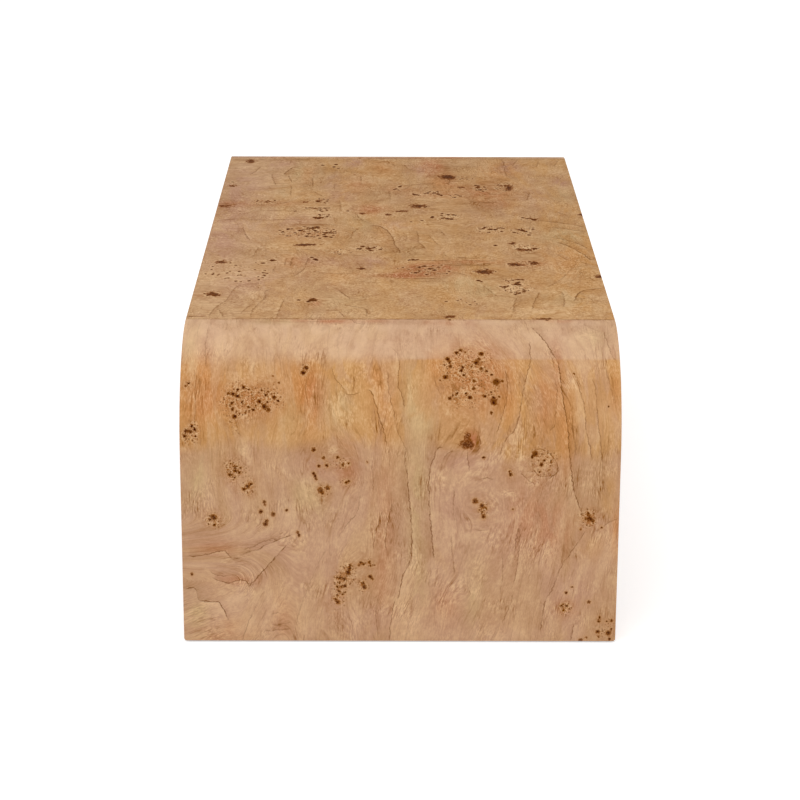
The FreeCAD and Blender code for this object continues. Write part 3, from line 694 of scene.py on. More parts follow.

# %% [markdown]
# The top is a wilder leaf: more clusters, smaller swirls, and a few solid dark knots. Its big eyes are
# listed one by one, and each cluster is filled up with small ones that are scattered but kept apart.

# %% Mark the eyes and clusters on the top
top_eyes = [
    (-136, 1010, 3.0), (-112, 1016, 3.6), (-115, 996, 3.4), (-107, 984, 2.6), (-287, 840, 3.0),
    (-290, 872, 2.2), (-137, 725, 3.6), (-120, 738, 2.0), (-155, 677, 2.2), (-148, 679, 2.0),
    (-140, 675, 2.6), (-132, 678, 2.4), (-124, 677, 2.4), (-117, 679, 2.0), (-130, 664, 2.2),
    (-128, 652, 2.4), (-120, 660, 1.8), (-139, 610, 3.2), (-133, 605, 3.2), (-126, 609, 2.4),
    (-118, 620, 2.2), (-116, 630, 2.0), (-132, 632, 2.2), (-173, 655, 2.4), (-85, 657, 2.8),
    (-188, 510, 3.0), (-193, 522, 2.2), (-180, 532, 2.4), (-160, 521, 3.8), (-148, 531, 3.0),
    (-140, 536, 4.0), (-133, 544, 4.2), (-136, 520, 3.0), (-145, 500, 3.2), (-150, 484, 2.4),
    (-180, 485, 2.2), (-117, 506, 4.2), (-109, 505, 3.2), (-121, 494, 3.0), (-118, 481, 4.0),
    (-109, 477, 3.0), (-127, 470, 2.6), (-106, 490, 2.2), (-130, 488, 2.2), (-168, 505, 2.4),
    (-58, 418, 3.6), (-62, 401, 2.6), (-48, 403, 4.0), (-40, 409, 3.0), (-45, 391, 2.8), (-30, 398, 2.4),
    (-136, 348, 3.0), (-131, 337, 3.6), (-128, 331, 3.0), (-196, 329, 4.0), (-210, 312, 3.2),
    (-246, 205, 2.2), (-226, 207, 2.3), (-212, 213, 2.0), (-258, 223, 1.9), (-205, 240, 2.3),
    (-240, 240, 1.8), (-262, 252, 2.2), (-244, 262, 2.2), (-130, 100, 3.8), (-124, 97, 3.0),
    (-134, 91, 2.8), (-148, 100, 2.6), (-127, 108, 2.2), (28, 778, 3.6), (34, 775, 2.8), (50, 790, 3.0),
    (62, 791, 3.2), (68, 783, 3.6), (73, 775, 3.0), (106, 768, 2.6), (96, 759, 2.6), (135, 850, 3.0),
    (138, 832, 3.6), (142, 816, 3.4), (146, 805, 2.4), (2, 838, 3.0), (-4, 822, 2.6), (72, 641, 2.6),
    (82, 632, 3.4), (91, 630, 3.0), (80, 604, 4.0), (72, 608, 3.0), (87, 600, 3.0), (55, 611, 3.2),
    (56, 619, 2.4), (38, 592, 2.6), (20, 582, 2.0), (205, 612, 2.8), (211, 605, 2.4), (217, 609, 2.4),
    (223, 598, 4.0), (140, 545, 2.6), (136, 535, 2.4), (148, 531, 4.0), (156, 530, 3.2), (145, 512, 2.4),
    (162, 541, 2.4), (166, 518, 2.8), (186, 512, 3.0), (200, 525, 4.2), (194, 530, 2.4), (206, 517, 2.8),
    (217, 530, 2.6), (218, 541, 2.0), (209, 495, 3.0), (152, 426, 3.2), (178, 436, 2.4), (190, 401, 3.2),
    (205, 397, 2.6), (213, 407, 4.0), (15, 332, 2.4), (22, 333, 2.8), (28, 335, 2.4), (20, 339, 2.0),
    (38, 296, 3.4), (30, 290, 3.0), (46, 281, 3.2), (53, 272, 3.4), (24, 256, 3.0), (41, 246, 2.6),
    (60, 290, 2.6), (118, 212, 3.2), (122, 205, 2.2), (155, 175, 3.8), (161, 181, 2.4), (173, 191, 3.0),
    (178, 188, 3.4), (176, 199, 3.2), (170, 215, 2.4), (178, 219, 2.6), (185, 217, 2.6), (170, 135, 2.8),
    (176, 141, 2.6), (164, 146, 2.0), (183, 148, 2.2),
]
top_clusters = [
    (-225, 722, 24, 22, 0.6, 0), (-135, 730, 20, 20, 0.5, 0), (-137, 670, 24, 16, 0.7, 0),
    (-128, 615, 14, 16, 0.8, 0), (-148, 512, 48, 38, 0.8, 0), (-46, 403, 24, 20, 0.8, 0),
    (-92, 384, 18, 18, 0.7, 0), (-245, 262, 52, 62, 0.3, 0), (-130, 100, 12, 14, 0.6, 0),
    (-277, 132, 12, 16, 0.7, 0), (140, 830, 16, 30, 0.6, 0), (185, 838, 20, 32, 0.8, 0),
    (60, 785, 40, 20, 0.6, 0), (100, 765, 14, 18, 0.6, 0), (-2, 828, 14, 22, 0.5, 0),
    (82, 615, 22, 26, 0.8, 0), (216, 605, 16, 12, 0.7, 0), (148, 530, 24, 24, 0.8, 0),
    (203, 522, 22, 22, 0.8, 0), (196, 410, 24, 28, 0.8, 0), (190, 312, 26, 18, 0.8, 0),
    (40, 275, 44, 34, 0.5, 0), (172, 180, 26, 44, 0.8, 0), (118, 910, 18, 24, 0.5, 0),
    (86, 916, 18, 20, 0.5, 0), (32, 691, 20, 20, 0.4, 0), (129, 263, 20, 18, 0.6, 0),
    (90, 95, 26, 26, 0.35, 0),
]
print("eyes chalked on the top:", len(top_eyes), "in clusters:", len(top_clusters))

# %% Mark the tints on the top
top_spots = {
    "amber": [
        (268, 320, 34, 160, 0.28), (180, 960, 30, 60, 0.5), (-25, 1000, 20, 60, 0.5),
        (70, 860, 20, 60, 0.5), (-160, 940, 14, 90, 0.3), (-20, 520, 14, 80, 0.3), (-100, 250, 40, 60, 0.2),
    ],
    "olive": [
        (-130, 900, 26, 70, 0.5), (-60, 560, 26, 60, 0.4), (130, 150, 40, 50, 0.5),
        (-178, 960, 10, 80, 0.5), (90, 200, 40, 40, 0.4), (-80, 80, 30, 50, 0.3), (262, 490, 40, 60, 0.6),
        (240, 120, 30, 60, 0.4), (285, 250, 24, 60, 0.3), (10, 380, 30, 40, 0.2), (-200, 800, 16, 60, 0.3),
        (280, 780, 20, 60, 0.4),
    ],
    "russet": [
        (38, 276, 32, 30, 1.4), (6, 240, 42, 14, 1.3), (62, 284, 24, 18, 0.8), (62, 1000, 22, 70, 0.9),
        (-45, 668, 26, 36, 0.7), (150, 800, 50, 60, 0.6), (160, 710, 26, 34, 0.6), (-70, 860, 22, 70, 0.4),
        (-150, 505, 44, 40, 0.4), (0, 820, 30, 20, 0.4), (200, 310, 34, 26, 0.4), (-160, 320, 26, 46, 0.35),
        (-124, 82, 8, 22, 0.6), (-290, 705, 30, 20, 0.5), (60, 780, 50, 20, 0.4), (100, 322, 50, 14, 0.5),
        (-210, 710, 50, 20, 0.3), (90, 890, 12, 60, 0.4),
    ],
    "cream": [
        (-245, 262, 46, 50, 0.35), (176, 165, 30, 40, 0.4), (-140, 740, 12, 20, 0.5),
        (192, 425, 18, 26, 0.4), (82, 615, 26, 26, 0.35), (146, 530, 26, 26, 0.35), (-118, 612, 8, 20, 0.5),
        (185, 845, 14, 20, 0.5), (-46, 400, 22, 22, 0.3), (-200, 330, 14, 12, 0.4), (60, 800, 40, 20, 0.25),
        (-290, 860, 14, 24, 0.4),
    ],
    "knot": [
        (85, 917, 12, 17, 1.15), (95, 908, 6, 12, 0.6), (33, 693, 15, 14, 0.9), (129, 263, 13, 13, 1.1),
        (-152, 426, 14, 7, 0.95), (-140, 429, 18, 4, 0.6), (-277, 132, 8, 12, 0.9), (-268, 126, 5, 6, 0.8),
        (-274, 318, 10, 9, 0.9), (-292, 690, 14, 10, 0.75), (-60, 641, 9, 7, 0.75), (6, 656, 13, 7, 0.8),
        (-18, 632, 6, 8, 0.8), (-58, 281, 5, 8, 1.1), (176, 308, 9, 10, 0.95), (186, 304, 8, 5, 0.6),
        (208, 316, 8, 11, 0.9), (192, 832, 7, 22, 0.95), (180, 850, 8, 8, 0.55), (-267, 1042, 8, 16, 0.95),
        (108, 836, 7, 9, 0.7), (138, 838, 6, 12, 0.6), (180, 440, 7, 8, 0.8), (197, 397, 9, 7, 0.85),
        (70, 13, 9, 7, 0.85), (205, 3, 12, 5, 0.9), (301, 235, 6, 10, 0.95), (304, 635, 5, 8, 0.95),
        (-128, 100, 7, 9, 0.8), (-158, 722, 7, 9, 0.5), (-135, 728, 6, 10, 0.7), (-222, 722, 12, 8, 0.5),
        (-134, 606, 8, 9, 0.7), (223, 600, 6, 7, 0.8), (-288, 842, 6, 10, 0.7), (-196, 329, 7, 6, 0.8),
    ],
    "shade": [
        (84, 1000, 16, 60, 0.18), (-280, 1000, 30, 60, -0.12), (-288, 790, 24, 140, 0.16),
        (-120, 975, 20, 40, 0.14), (-20, 805, 80, 34, 0.15), (142, 700, 40, 90, 0.2),
        (150, 830, 50, 40, 0.1), (-150, 650, 70, 50, -0.14), (240, 480, 18, 30, 0.15),
        (20, 400, 30, 44, 0.17), (-265, 400, 34, 40, 0.14), (-44, 320, 22, 34, 0.15),
        (-240, 255, 42, 54, -0.04), (240, 250, 16, 30, -0.12), (165, 180, 26, 40, -0.2),
        (285, 90, 20, 60, -0.16), (240, 40, 24, 36, -0.14), (180, 40, 40, 30, -0.2),
        (-284, 140, 20, 70, -0.1), (82, 112, 18, 28, -0.24), (200, 415, 20, 24, -0.12),
        (-5, 180, 20, 30, -0.06), (40, 330, 26, 14, -0.1), (34, 275, 36, 26, 0.24), (4, 240, 34, 12, 0.2),
        (120, 310, 34, 16, 0.14), (0, 1030, 26, 24, 0.15), (120, 1030, 18, 24, -0.16),
        (200, 968, 18, 30, -0.16), (-200, 1030, 18, 24, -0.12), (-160, 800, 18, 30, -0.12),
        (-200, 640, 20, 30, -0.14), (-240, 480, 20, 30, -0.13), (-40, 560, 22, 26, -0.13),
        (-42, 400, 18, 24, 0.15), (200, 400, 16, 24, -0.1), (200, 250, 18, 26, -0.16),
        (-200, 320, 18, 24, 0.1), (285, 180, 16, 30, -0.15), (-120, 40, 18, 26, 0.13),
        (-82, 110, 14, 24, -0.09), (40, 250, 14, 18, 0.1), (240, 250, 16, 24, -0.06),
    ],
    "mauve": [
        (-275, 760, 36, 230, 0.5), (-280, 440, 30, 130, 0.5), (200, 1000, 24, 60, 0.5),
        (-80, 1030, 20, 34, 0.6), (285, 880, 14, 44, 0.6), (-210, 1020, 30, 40, 0.5), (0, 560, 24, 26, 0.4),
        (160, 660, 60, 60, 0.15), (-44, 320, 24, 34, 0.5), (-120, 880, 22, 60, 0.5),
        (-100, 760, 26, 50, 0.4), (-170, 590, 40, 40, 0.4), (-120, 330, 40, 30, 0.4),
        (-230, 200, 40, 60, 0.4), (230, 760, 30, 90, 0.25), (40, 980, 20, 60, 0.5),
    ],
}
print("tints of the top:", ", ".join(top_spots))

# %% Mark the strong lines on the top
top_edges = [
    (0.9, 12, [(-48, 560), (-30, 548), (-18, 515), (-10, 470), (-7, 430), (-1, 398), (2, 372)]),
    (0.6, 8, [(28, 524), (31, 480), (30, 450), (38, 420), (41, 395)]), (0.5, 8, [(64, 534), (74, 488)]),
    (0.5, 8, [(45, 500), (55, 460), (62, 425)]), (0.4, 8, [(4, 520), (12, 480), (10, 450)]),
    (0.5, -8, [(-78, 465), (-74, 505), (-66, 535)]), (0.4, 8, [(68, 385), (74, 352)]),
    (0.8, -10, [(224, 598), (250, 584), (276, 570), (303, 548)]),
    (0.6, -9, [(245, 548), (270, 536), (303, 515)]),
    (0.9, -10, [(250, 448), (262, 432), (276, 402), (287, 372), (294, 345), (304, 330)]),
    (0.7, -8, [(240, 482), (262, 466), (283, 440), (298, 405)]),
    (0.5, -7, [(243, 376), (254, 350), (262, 330)]),
    (0.35, 14, [(273, 322), (268, 296), (258, 268), (250, 240), (240, 214), (228, 190), (212, 164)]),
    (0.9, 9, [(254, 96), (260, 130), (268, 150), (280, 163), (303, 170)]),
    (0.6, 7, [(162, 36), (166, 84), (172, 118)]), (0.6, 7, [(190, 52), (196, 95), (206, 148)]),
    (0.5, -7, [(236, 60), (240, 110), (239, 150)]), (0.6, 6, [(124, 186), (134, 150), (144, 116)]),
    (0.55, 7, [(-212, 4), (-214, 30), (-206, 78), (-198, 112), (-199, 148), (-188, 166)]),
    (0.5, 7, [(-274, 12), (-266, 60), (-254, 96), (-250, 124), (-246, 158), (-238, 182), (-206, 196)]),
    (0.6, 7, [(-176, 8), (-173, 60), (-170, 104)]), (0.5, 6, [(-228, 26), (-222, 56), (-214, 78)]),
    (0.6, 6, [(-252, 8), (-258, 36), (-264, 52)]), (0.6, -6, [(-110, 40), (-92, 44), (-84, 24), (-78, 6)]),
    (0.6, 6, [(-48, 12), (-49, 48), (-62, 62), (-88, 76)]), (0.8, 5, [(-72, 106), (-80, 126), (-92, 156)]),
    (0.6, 6, [(-168, 292), (-166, 348)]), (0.5, 6, [(-177, 290), (-175, 346)]),
    (0.6, 6, [(-145, 296), (-141, 346)]), (0.5, 6, [(-194, 250), (-190, 296)]),
    (0.6, -6, [(-160, 232), (-150, 262), (-143, 290)]), (0.5, 6, [(-228, 350), (-222, 412)]),
    (0.7, 7, [(-254, 545), (-247, 492), (-238, 456)]), (0.5, 8, [(-190, 388), (-150, 397), (-108, 392)]),
    (0.5, 8, [(-132, 264), (-106, 254), (-70, 250)]), (0.5, 7, [(-62, 206), (-26, 198)]),
    (0.5, 8, [(-100, 372), (-70, 362), (-50, 364)]), (0.9, 6, [(16, 334), (50, 331), (80, 333)]),
    (0.9, 7, [(60, 306), (90, 311), (120, 309), (144, 316)]), (0.8, 6, [(72, 297), (102, 303), (140, 300)]),
    (0.7, 7, [(84, 352), (110, 347), (136, 349)]), (0.7, 6, [(98, 336), (122, 330), (150, 331)]),
    (0.7, 6, [(76, 265), (92, 252), (104, 240)]), (0.9, 6, [(-10, 226), (18, 222), (58, 224)]),
    (0.6, 6, [(8, 212), (34, 208), (56, 210)]), (0.6, 6, [(18, 292), (34, 289), (46, 298), (60, 300)]),
    (0.7, 5, [(46, 268), (52, 256), (62, 250)]),
    (0.8, 8, [(-202, 925), (-200, 950), (-194, 975), (-186, 1000)]),
    (0.7, 7, [(-194, 925), (-190, 895), (-185, 868)]), (0.7, -8, [(-224, 935), (-221, 900), (-214, 850)]),
    (0.6, 8, [(-151, 912), (-149, 842)]), (0.5, -7, [(-112, 866), (-111, 812)]),
    (0.6, 7, [(-67, 926), (-65, 884)]), (0.5, 8, [(-186, 846), (-185, 770)]),
    (0.6, 7, [(-246, 1000), (-254, 960), (-264, 928)]), (0.7, 8, [(-244, 700), (-215, 704), (-186, 722)]),
    (0.7, 8, [(-150, 562), (-125, 566), (-98, 556)]), (0.5, 8, [(-176, 614), (-142, 618), (-108, 612)]),
    (0.6, 8, [(-304, 712), (-280, 706), (-262, 708)]), (0.6, 7, [(-147, 804), (-138, 782), (-128, 762)]),
    (0.5, 7, [(-101, 738), (-98, 695), (-96, 655)]), (0.6, 7, [(-74, 650), (-66, 612), (-58, 584)]),
    (0.6, 8, [(-300, 590), (-262, 600), (-215, 594), (-160, 600)]), (0.5, 8, [(-16, 808), (-14, 738)]),
    (0.5, 8, [(-250, 655), (-210, 660), (-160, 654)]), (0.5, -8, [(-104, 940), (-88, 956), (-66, 940)]),
    (0.9, 6, [(88, 908), (90, 884), (88, 858)]), (0.7, 5, [(92, 882), (104, 884), (118, 884)]),
    (0.7, 8, [(-8, 838), (14, 850), (40, 862), (64, 866)]),
    (0.7, 7, [(116, 898), (126, 926), (142, 916), (154, 896)]),
    (0.6, 7, [(118, 830), (150, 822), (182, 822)]), (0.7, 8, [(150, 786), (176, 784), (196, 774)]),
    (1.0, 6, [(118, 726), (142, 724), (170, 725)]), (0.6, 8, [(192, 930), (190, 975), (195, 1012)]),
    (0.7, 7, [(188, 1062), (192, 1030), (188, 990)]), (0.5, 8, [(218, 1064), (206, 1004)]),
    (0.5, 8, [(256, 1052), (249, 996)]), (0.5, 8, [(292, 1056), (280, 1000)]),
    (0.6, 7, [(226, 806), (222, 764), (216, 734)]), (0.7, 7, [(258, 672), (268, 648), (282, 630)]),
    (0.5, 7, [(14, 742), (40, 736), (62, 720)]), (0.7, 6, [(44, 688), (56, 676), (70, 672)]),
    (0.6, 8, [(196, 884), (180, 894), (168, 886)]), (0.5, 8, [(10, 1022), (16, 990), (30, 968), (52, 962)]),
    (0.5, 8, [(80, 1002), (104, 1004), (140, 998)]),
    (0.5, -4, [(-240, 0.8), (-100, 1.0), (4, 0.8), (70, 1.0)]),
    (0.4, -4, [(120, 0.8), (210, 1.2), (306, 0.8)]), (1.0, -6, [(-306, 8), (-294, 10), (-276, 9)]),
    (0.7, 8, [(-304, 1058), (-240, 1056), (-160, 1058)]),
]
print("strong lines on the top:", len(top_edges))


# %% Fill the clusters with small eyes
def scatter(clusters, share, seed, smallest=0.9, largest=2.1, space=2.4):
    """Small eyes in each ellipse, tried as often as share times its area and kept space mm apart."""
    random = np.random.default_rng(seed)
    eyes = []
    for across, along, half_across, half_along, much, _ in clusters:
        kept = []
        for _ in range(int(share * much * half_across * half_along)):
            turn, out = random.uniform(0, 2 * math.pi), random.uniform(0, 1) ** 0.5
            size = random.uniform(smallest, largest)
            aside, ahead = half_across * out * math.cos(turn), half_along * out * math.sin(turn)
            place = (across + aside, along + ahead, size)
            if all(math.dist(place[:2], k[:2]) > space + size + k[2] for k in kept):
                kept.append(place)
        eyes += kept
    return eyes


# %% Tones of the top
def top_pale(flat, seed):
    """Pale drifts over the far and left parts, with a faint cloud of the same all over."""
    u, v = in_millimetres(flat)
    far = 0.6 * spot(u, v, (-260, 880), (60, 170)) + 0.4 * spot(u, v, (-250, 560), (50, 100))
    return np.clip(far + 0.35 * spot(u, v, (-240, 240), (70, 200)) + 0.12 * cloud(u, v, 60, 130, seed), 0, 1)


def top_straw(flat, seed):
    """Golden streaks along the top, least at the left side and most at the right."""
    u, v = in_millimetres(flat)
    streaks = 0.30 * cloud(u, v, 24, 110, seed) + 0.25 * cloud(u, v, 70, 260, seed + 1)
    right = 0.2 * rise(u, 100, 280) + 0.4 * spot(u, v, (272, 320), (44, 220))
    return np.clip(0.38 + streaks + right - 0.45 * rise(-u, 170, 290), 0, 1)


# %% [markdown]
# The top's eyes are longer along the table than across it. top_squash shrinks the distances along it, so
# that a round eye in those distances comes out long on the table.

# %% Lay the top
top_squash = 0.8
top_seed = 31
scatter_seed = 23
small_eyes = scatter(top_clusters, 0.03, scatter_seed)
top_marks = (top_eyes + small_eyes, top_edges, top_clusters)
top_sheet, top_flat = lay_sheet("top_burl_face", top_path, full_width, top_length, top_pitch)
golden, drifts = top_straw(top_flat, top_seed + 3), top_pale(top_flat, top_seed + 2)
top_tones = all_tones(top_flat, golden, drifts, top_spots)
top_growth = parted(top_flat, top_clusters, top_seed, 1.3)
paint_figure(top_sheet, top_flat, top_marks, top_tones, top_growth, top_seed, top_squash)

# %% Put the sheets in place of the plain ones
laid = ((near_leg, "front_face_veneer"), (top_sheet, "top_face_veneer"), (far_leg, "back_face_veneer"))
for sheet, node in laid:
    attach(sheet, "table")
    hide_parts(node)
    print(sheet.name, "takes the place of", node)

# %% [markdown]
# ## A few words for writing shaders
# A finish is a chain of small sums, so a few short helpers keep each one readable. Colours are written as
# they look on a screen, 0 to 255, and turned into light once, here.

# %% Nodes, sums and ramps
def paint(red, green, blue):
    """A screen colour as linear light with full alpha: ((c + 0.055) / 1.055) ^ 2.4 above the toe."""
    shares = [c / 255 for c in (red, green, blue)]
    return (*[s / 12.92 if s <= 0.04045 else ((s + 0.055) / 1.055) ** 2.4 for s in shares], 1.0)


def put(tree, kind, inputs=None, **settings):
    """A node with its settings and inputs; an input may be a number, a colour or another node's socket."""
    made = tree.nodes.new(kind)
    for key, value in settings.items():
        setattr(made, key, value)
    for key, value in (inputs or {}).items():
        if isinstance(value, bpy.types.NodeSocket):
            tree.links.new(value, made.inputs[key])
        else:
            made.inputs[key].default_value = value
    return made


def sums(tree, operation, *values, clamp=False):
    """A Math node's result."""
    made = put(tree, "ShaderNodeMath", dict(enumerate(values)), operation=operation, use_clamp=clamp)
    return made.outputs[0]


def times(tree, first, second, clamp=False):
    """first x second, kept between 0 and 1 where clamp is set."""
    return sums(tree, "MULTIPLY", first, second, clamp=clamp)


def plus(tree, first, second, clamp=False):
    """first + second, kept between 0 and 1 where clamp is set."""
    return sums(tree, "ADD", first, second, clamp=clamp)


def minus(tree, first, second):
    """first - second."""
    return sums(tree, "SUBTRACT", first, second)


def ramp(tree, value, low, high, start=0.0, end=1.0):
    """Eases from start to end as value goes from low to high."""
    inputs = {"Value": value, "From Min": low, "From Max": high, "To Min": start, "To Max": end}
    return put(tree, "ShaderNodeMapRange", inputs, interpolation_type="SMOOTHSTEP").outputs[0]


def swing(tree, value, amount, low=0.3, high=0.7):
    """A noise turned into a push of plus or minus amount."""
    return ramp(tree, value, low, high, -amount, amount)


def mix(tree, share, first, second):
    """The first colour going over to the second by share."""
    return put(tree, "ShaderNodeMix", {0: share, 6: first, 7: second}, data_type="RGBA").outputs[2]


def between(tree, share, first, second):
    """The first number going over to the second by share."""
    return put(tree, "ShaderNodeMix", {0: share, 2: first, 3: second}, data_type="FLOAT").outputs[0]


# %% Places, noise and stored values
def split(tree, vector):
    """A vector's three parts."""
    return put(tree, "ShaderNodeSeparateXYZ", {0: vector}).outputs


def join(tree, x, y, z=0.0):
    """A vector from its parts."""
    return put(tree, "ShaderNodeCombineXYZ", {0: x, 1: y, 2: z}).outputs[0]


def stretched(tree, vector, x, y, z=1.0):
    """A vector with each part scaled."""
    return put(tree, "ShaderNodeVectorMath", {0: vector, 1: (x, y, z)}, operation="MULTIPLY").outputs[0]


def own_place(tree):
    """Where a point is, in the object's own metres."""
    return put(tree, "ShaderNodeTexCoord").outputs["Object"]


def grain(tree, vector, scale, detail=2.0, rough=0.5, distortion=0.0):
    """Noise between 0 and 1, with scale swings to the metre."""
    inputs = {"Vector": vector, "Scale": scale, "Detail": detail, "Roughness": rough,
              "Distortion": distortion}
    return put(tree, "ShaderNodeTexNoise", inputs).outputs["Fac"]


def cells(tree, flat, scale):
    """Cells, scale to the metre: distance from the nearest centre, in mm, and that cell's random number."""
    inputs = {"Vector": flat, "Scale": scale, "Randomness": 1.0}
    found = put(tree, "ShaderNodeTexVoronoi", inputs, voronoi_dimensions="2D").outputs
    number = put(tree, "ShaderNodeSeparateColor", {0: found["Color"]}).outputs[0]
    return times(tree, found["Distance"], millimetres / scale), number


def attribute(tree, name, part="Fac"):
    """A value that was stored on the mesh."""
    return put(tree, "ShaderNodeAttribute", attribute_name=name, attribute_type="GEOMETRY").outputs[part]


# %% Materials and relief
def start_material(name):
    """An empty material with its output and principled shader joined."""
    material = bpy.data.materials.new(name)
    material.use_nodes = True
    tree = material.node_tree
    tree.nodes.clear()
    shader = put(tree, "ShaderNodeBsdfPrincipled")
    put(tree, "ShaderNodeOutputMaterial", {"Surface": shader.outputs[0]})
    return material, tree, shader


def relief(tree, shader, height, distance, strength):
    """Bump from a height between 0 and 1."""
    bump = put(tree, "ShaderNodeBump", {"Height": height, "Distance": distance, "Strength": strength})
    tree.links.new(bump.outputs[0], shader.inputs["Normal"])


# %% [markdown]
# ## Burl under matt lacquer
# The finish is built up as the eye reads it: a ground between rose and straw, the tints, one level of light
# and dark that sums the slow shimmer, the rings, the fibres and the shadows, and then everything that is
# plainly brown: strong lines, halos, specks, knots and eyes. Dark steps go to a brown and light steps to a
# cream, because wood changes its colour and not only its brightness. Eyes and lines lie a little lower than
# the lacquer round them and are a little rougher.
#
# All the layers read one set of places and stored values, called wood here: "flat" is the place on the
# unrolled sheet, "seen" is that place as the eyes are drawn on it, and "bent" is the place that the growth
# follows.

# %% Colours of the burl
ground_rose = paint(191, 149, 118)
ground_straw = paint(191, 150, 108)
ground_deep = paint(182, 138, 102)
tone_straw = paint(197, 146, 88)
tone_amber = paint(198, 130, 72)
# The pale tone: pale wood, and on the legs' shoulder band also a painted sheen.
tone_pale_and_sheen = paint(210, 172, 139)
tone_olive = paint(192, 160, 114)
tone_russet = paint(184, 118, 80)
tone_mauve = paint(184, 137, 116)
step_brown = paint(134, 82, 26)
step_cream = paint(240, 204, 158)
line_brown = paint(112, 66, 18)
halo_brown = paint(160, 100, 46)
knot_brown = paint(118, 60, 6)
knot_heart = paint(58, 14, 0)
eye_rim = paint(118, 66, 12)
eye_heart = paint(60, 12, 0)
speck_brown = paint(116, 68, 24)


# %% [markdown]
# Most of the noise follows the growth: its first coordinate is the height of the growth lines and its
# second is the distance along the sheet, each with its own number of swings to the metre. Where the
# growth lies across the sheet, at the leg's lower left, both would run the same way and the noise would
# turn into stripes, so the second coordinate is pushed along as the place nears that side.

# %% Noise that follows the growth
lying_side = -0.30
lying_end = -0.11


def leaning(tree, flat, turned):
    """The flat place, pushed along by turned metres at the left side and by none from lying_end on."""
    push = ramp(tree, split(tree, flat)[0], lying_side, lying_end, turned, 0.0)
    moved = put(tree, "ShaderNodeVectorMath", {0: flat, 1: join(tree, 0.0, push)}, operation="ADD")
    return moved.outputs[0]


def all_places(tree, flat, look):
    """The flat place, the place that the eyes are drawn on, and the place that the growth follows."""
    return {"flat": flat, "seen": stretched(tree, flat, 1.0, look["squash"]),
            "bent": leaning(tree, flat, look["turned"])}


def wood_grain(tree, wood, across, along, cut=0.0, **texture):
    """Noise with across and along swings to the metre of growth; cut takes another slice of the noise."""
    down = split(tree, wood["bent"])[1]
    place = join(tree, times(tree, wood["growth"], across), times(tree, down, along), cut)
    return grain(tree, place, 1.0, **texture)


def layer(tree, wood, strength, across, along, **texture):
    """One layer of that noise as a push of plus or minus strength."""
    return swing(tree, wood_grain(tree, wood, across, along, **texture), strength)


# %% Ground and tints
def ground(tree, wood, base):
    """The ground: drifts of two colours that follow the growth, with some deeper strokes."""
    broad = wood_grain(tree, wood, 10.0, 5.0, detail=3.0, distortion=0.8)
    strokes = wood_grain(tree, wood, 30.0, 11.0, 3.0, detail=3.0, rough=0.55, distortion=0.8)
    colour = mix(tree, ramp(tree, broad, 0.42, 0.60, 0.0, 0.6), ground_rose, ground_straw)
    colour = mix(tree, base, colour, ground_straw)
    return mix(tree, ramp(tree, strokes, 0.52, 0.64, 0.0, 0.55), colour, ground_deep)


def tinted_ground(tree, wood, look):
    """The ground under its tints: warm ones gather in the patches, and dull ones lie between them."""
    patch = wood_grain(tree, wood, 42.0, 15.0, 6.0, detail=3.0, rough=0.55, distortion=0.6)
    within = ramp(tree, patch, 0.40, 0.56, 0.6, 1.15)
    beside = ramp(tree, patch, 0.44, 0.60, 1.15, 0.5)
    tint, blush = look["tint"], look["tint"] * look["blush"]
    # The pale tint is pale wood, and on the legs' shoulder also a painted sheen.
    layers = (
        ("straw", tone_straw, within, tint), ("pale", tone_pale_and_sheen, beside, tint),
        ("amber", tone_amber, within, tint), ("olive", tone_olive, beside, blush),
        ("mauve", tone_mauve, beside, blush), ("russet", tone_russet, within, blush))
    colour = ground(tree, wood, look["base"])
    for name, tone, where, strength in layers:
        share = times(tree, wood[name], where, clamp=True)
        colour = mix(tree, times(tree, share, strength), colour, tone)
    return colour


# %% Rings and hairlines
def rings(tree, wood, spacing):
    """Growth rings: a slow darkening that ends in a sharp, thin line, strong in places, gone in others."""
    wander = times(tree, grain(tree, wood["bent"], 90.0), 0.25)
    uneven = times(tree, wood_grain(tree, wood, 38.0, 4.0, detail=1.0), 3.0)
    phase = plus(tree, times(tree, wood["growth"], 1.0 / spacing), uneven)
    turn = sums(tree, "FRACT", plus(tree, phase, wander))
    slope = ramp(tree, turn, 0.25, 0.95)
    edge = times(tree, ramp(tree, turn, 0.86, 0.94), ramp(tree, turn, 0.96, 1.0, 1.0, 0.0))
    place = ramp(tree, grain(tree, stretched(tree, wood["bent"], 1.0, 0.5), 19.0), 0.44, 0.66)
    return times(tree, slope, place), times(tree, edge, place)


def hairs(tree, wood, across, along):
    """Fine lines along the growth: level lines of a long noise, sharp on one side, broken into strokes."""
    height = wood_grain(tree, wood, across, along, 5.0, detail=3.0, distortion=0.3)
    turn = sums(tree, "FRACT", times(tree, height, 9.0))
    line = times(tree, ramp(tree, turn, 0.0, 0.07), ramp(tree, turn, 0.09, 0.32, 1.0, 0.0))
    broken = ramp(tree, wood_grain(tree, wood, 60.0, 16.0, 8.0, detail=3.0, rough=0.6), 0.44, 0.60)
    return times(tree, line, broken)


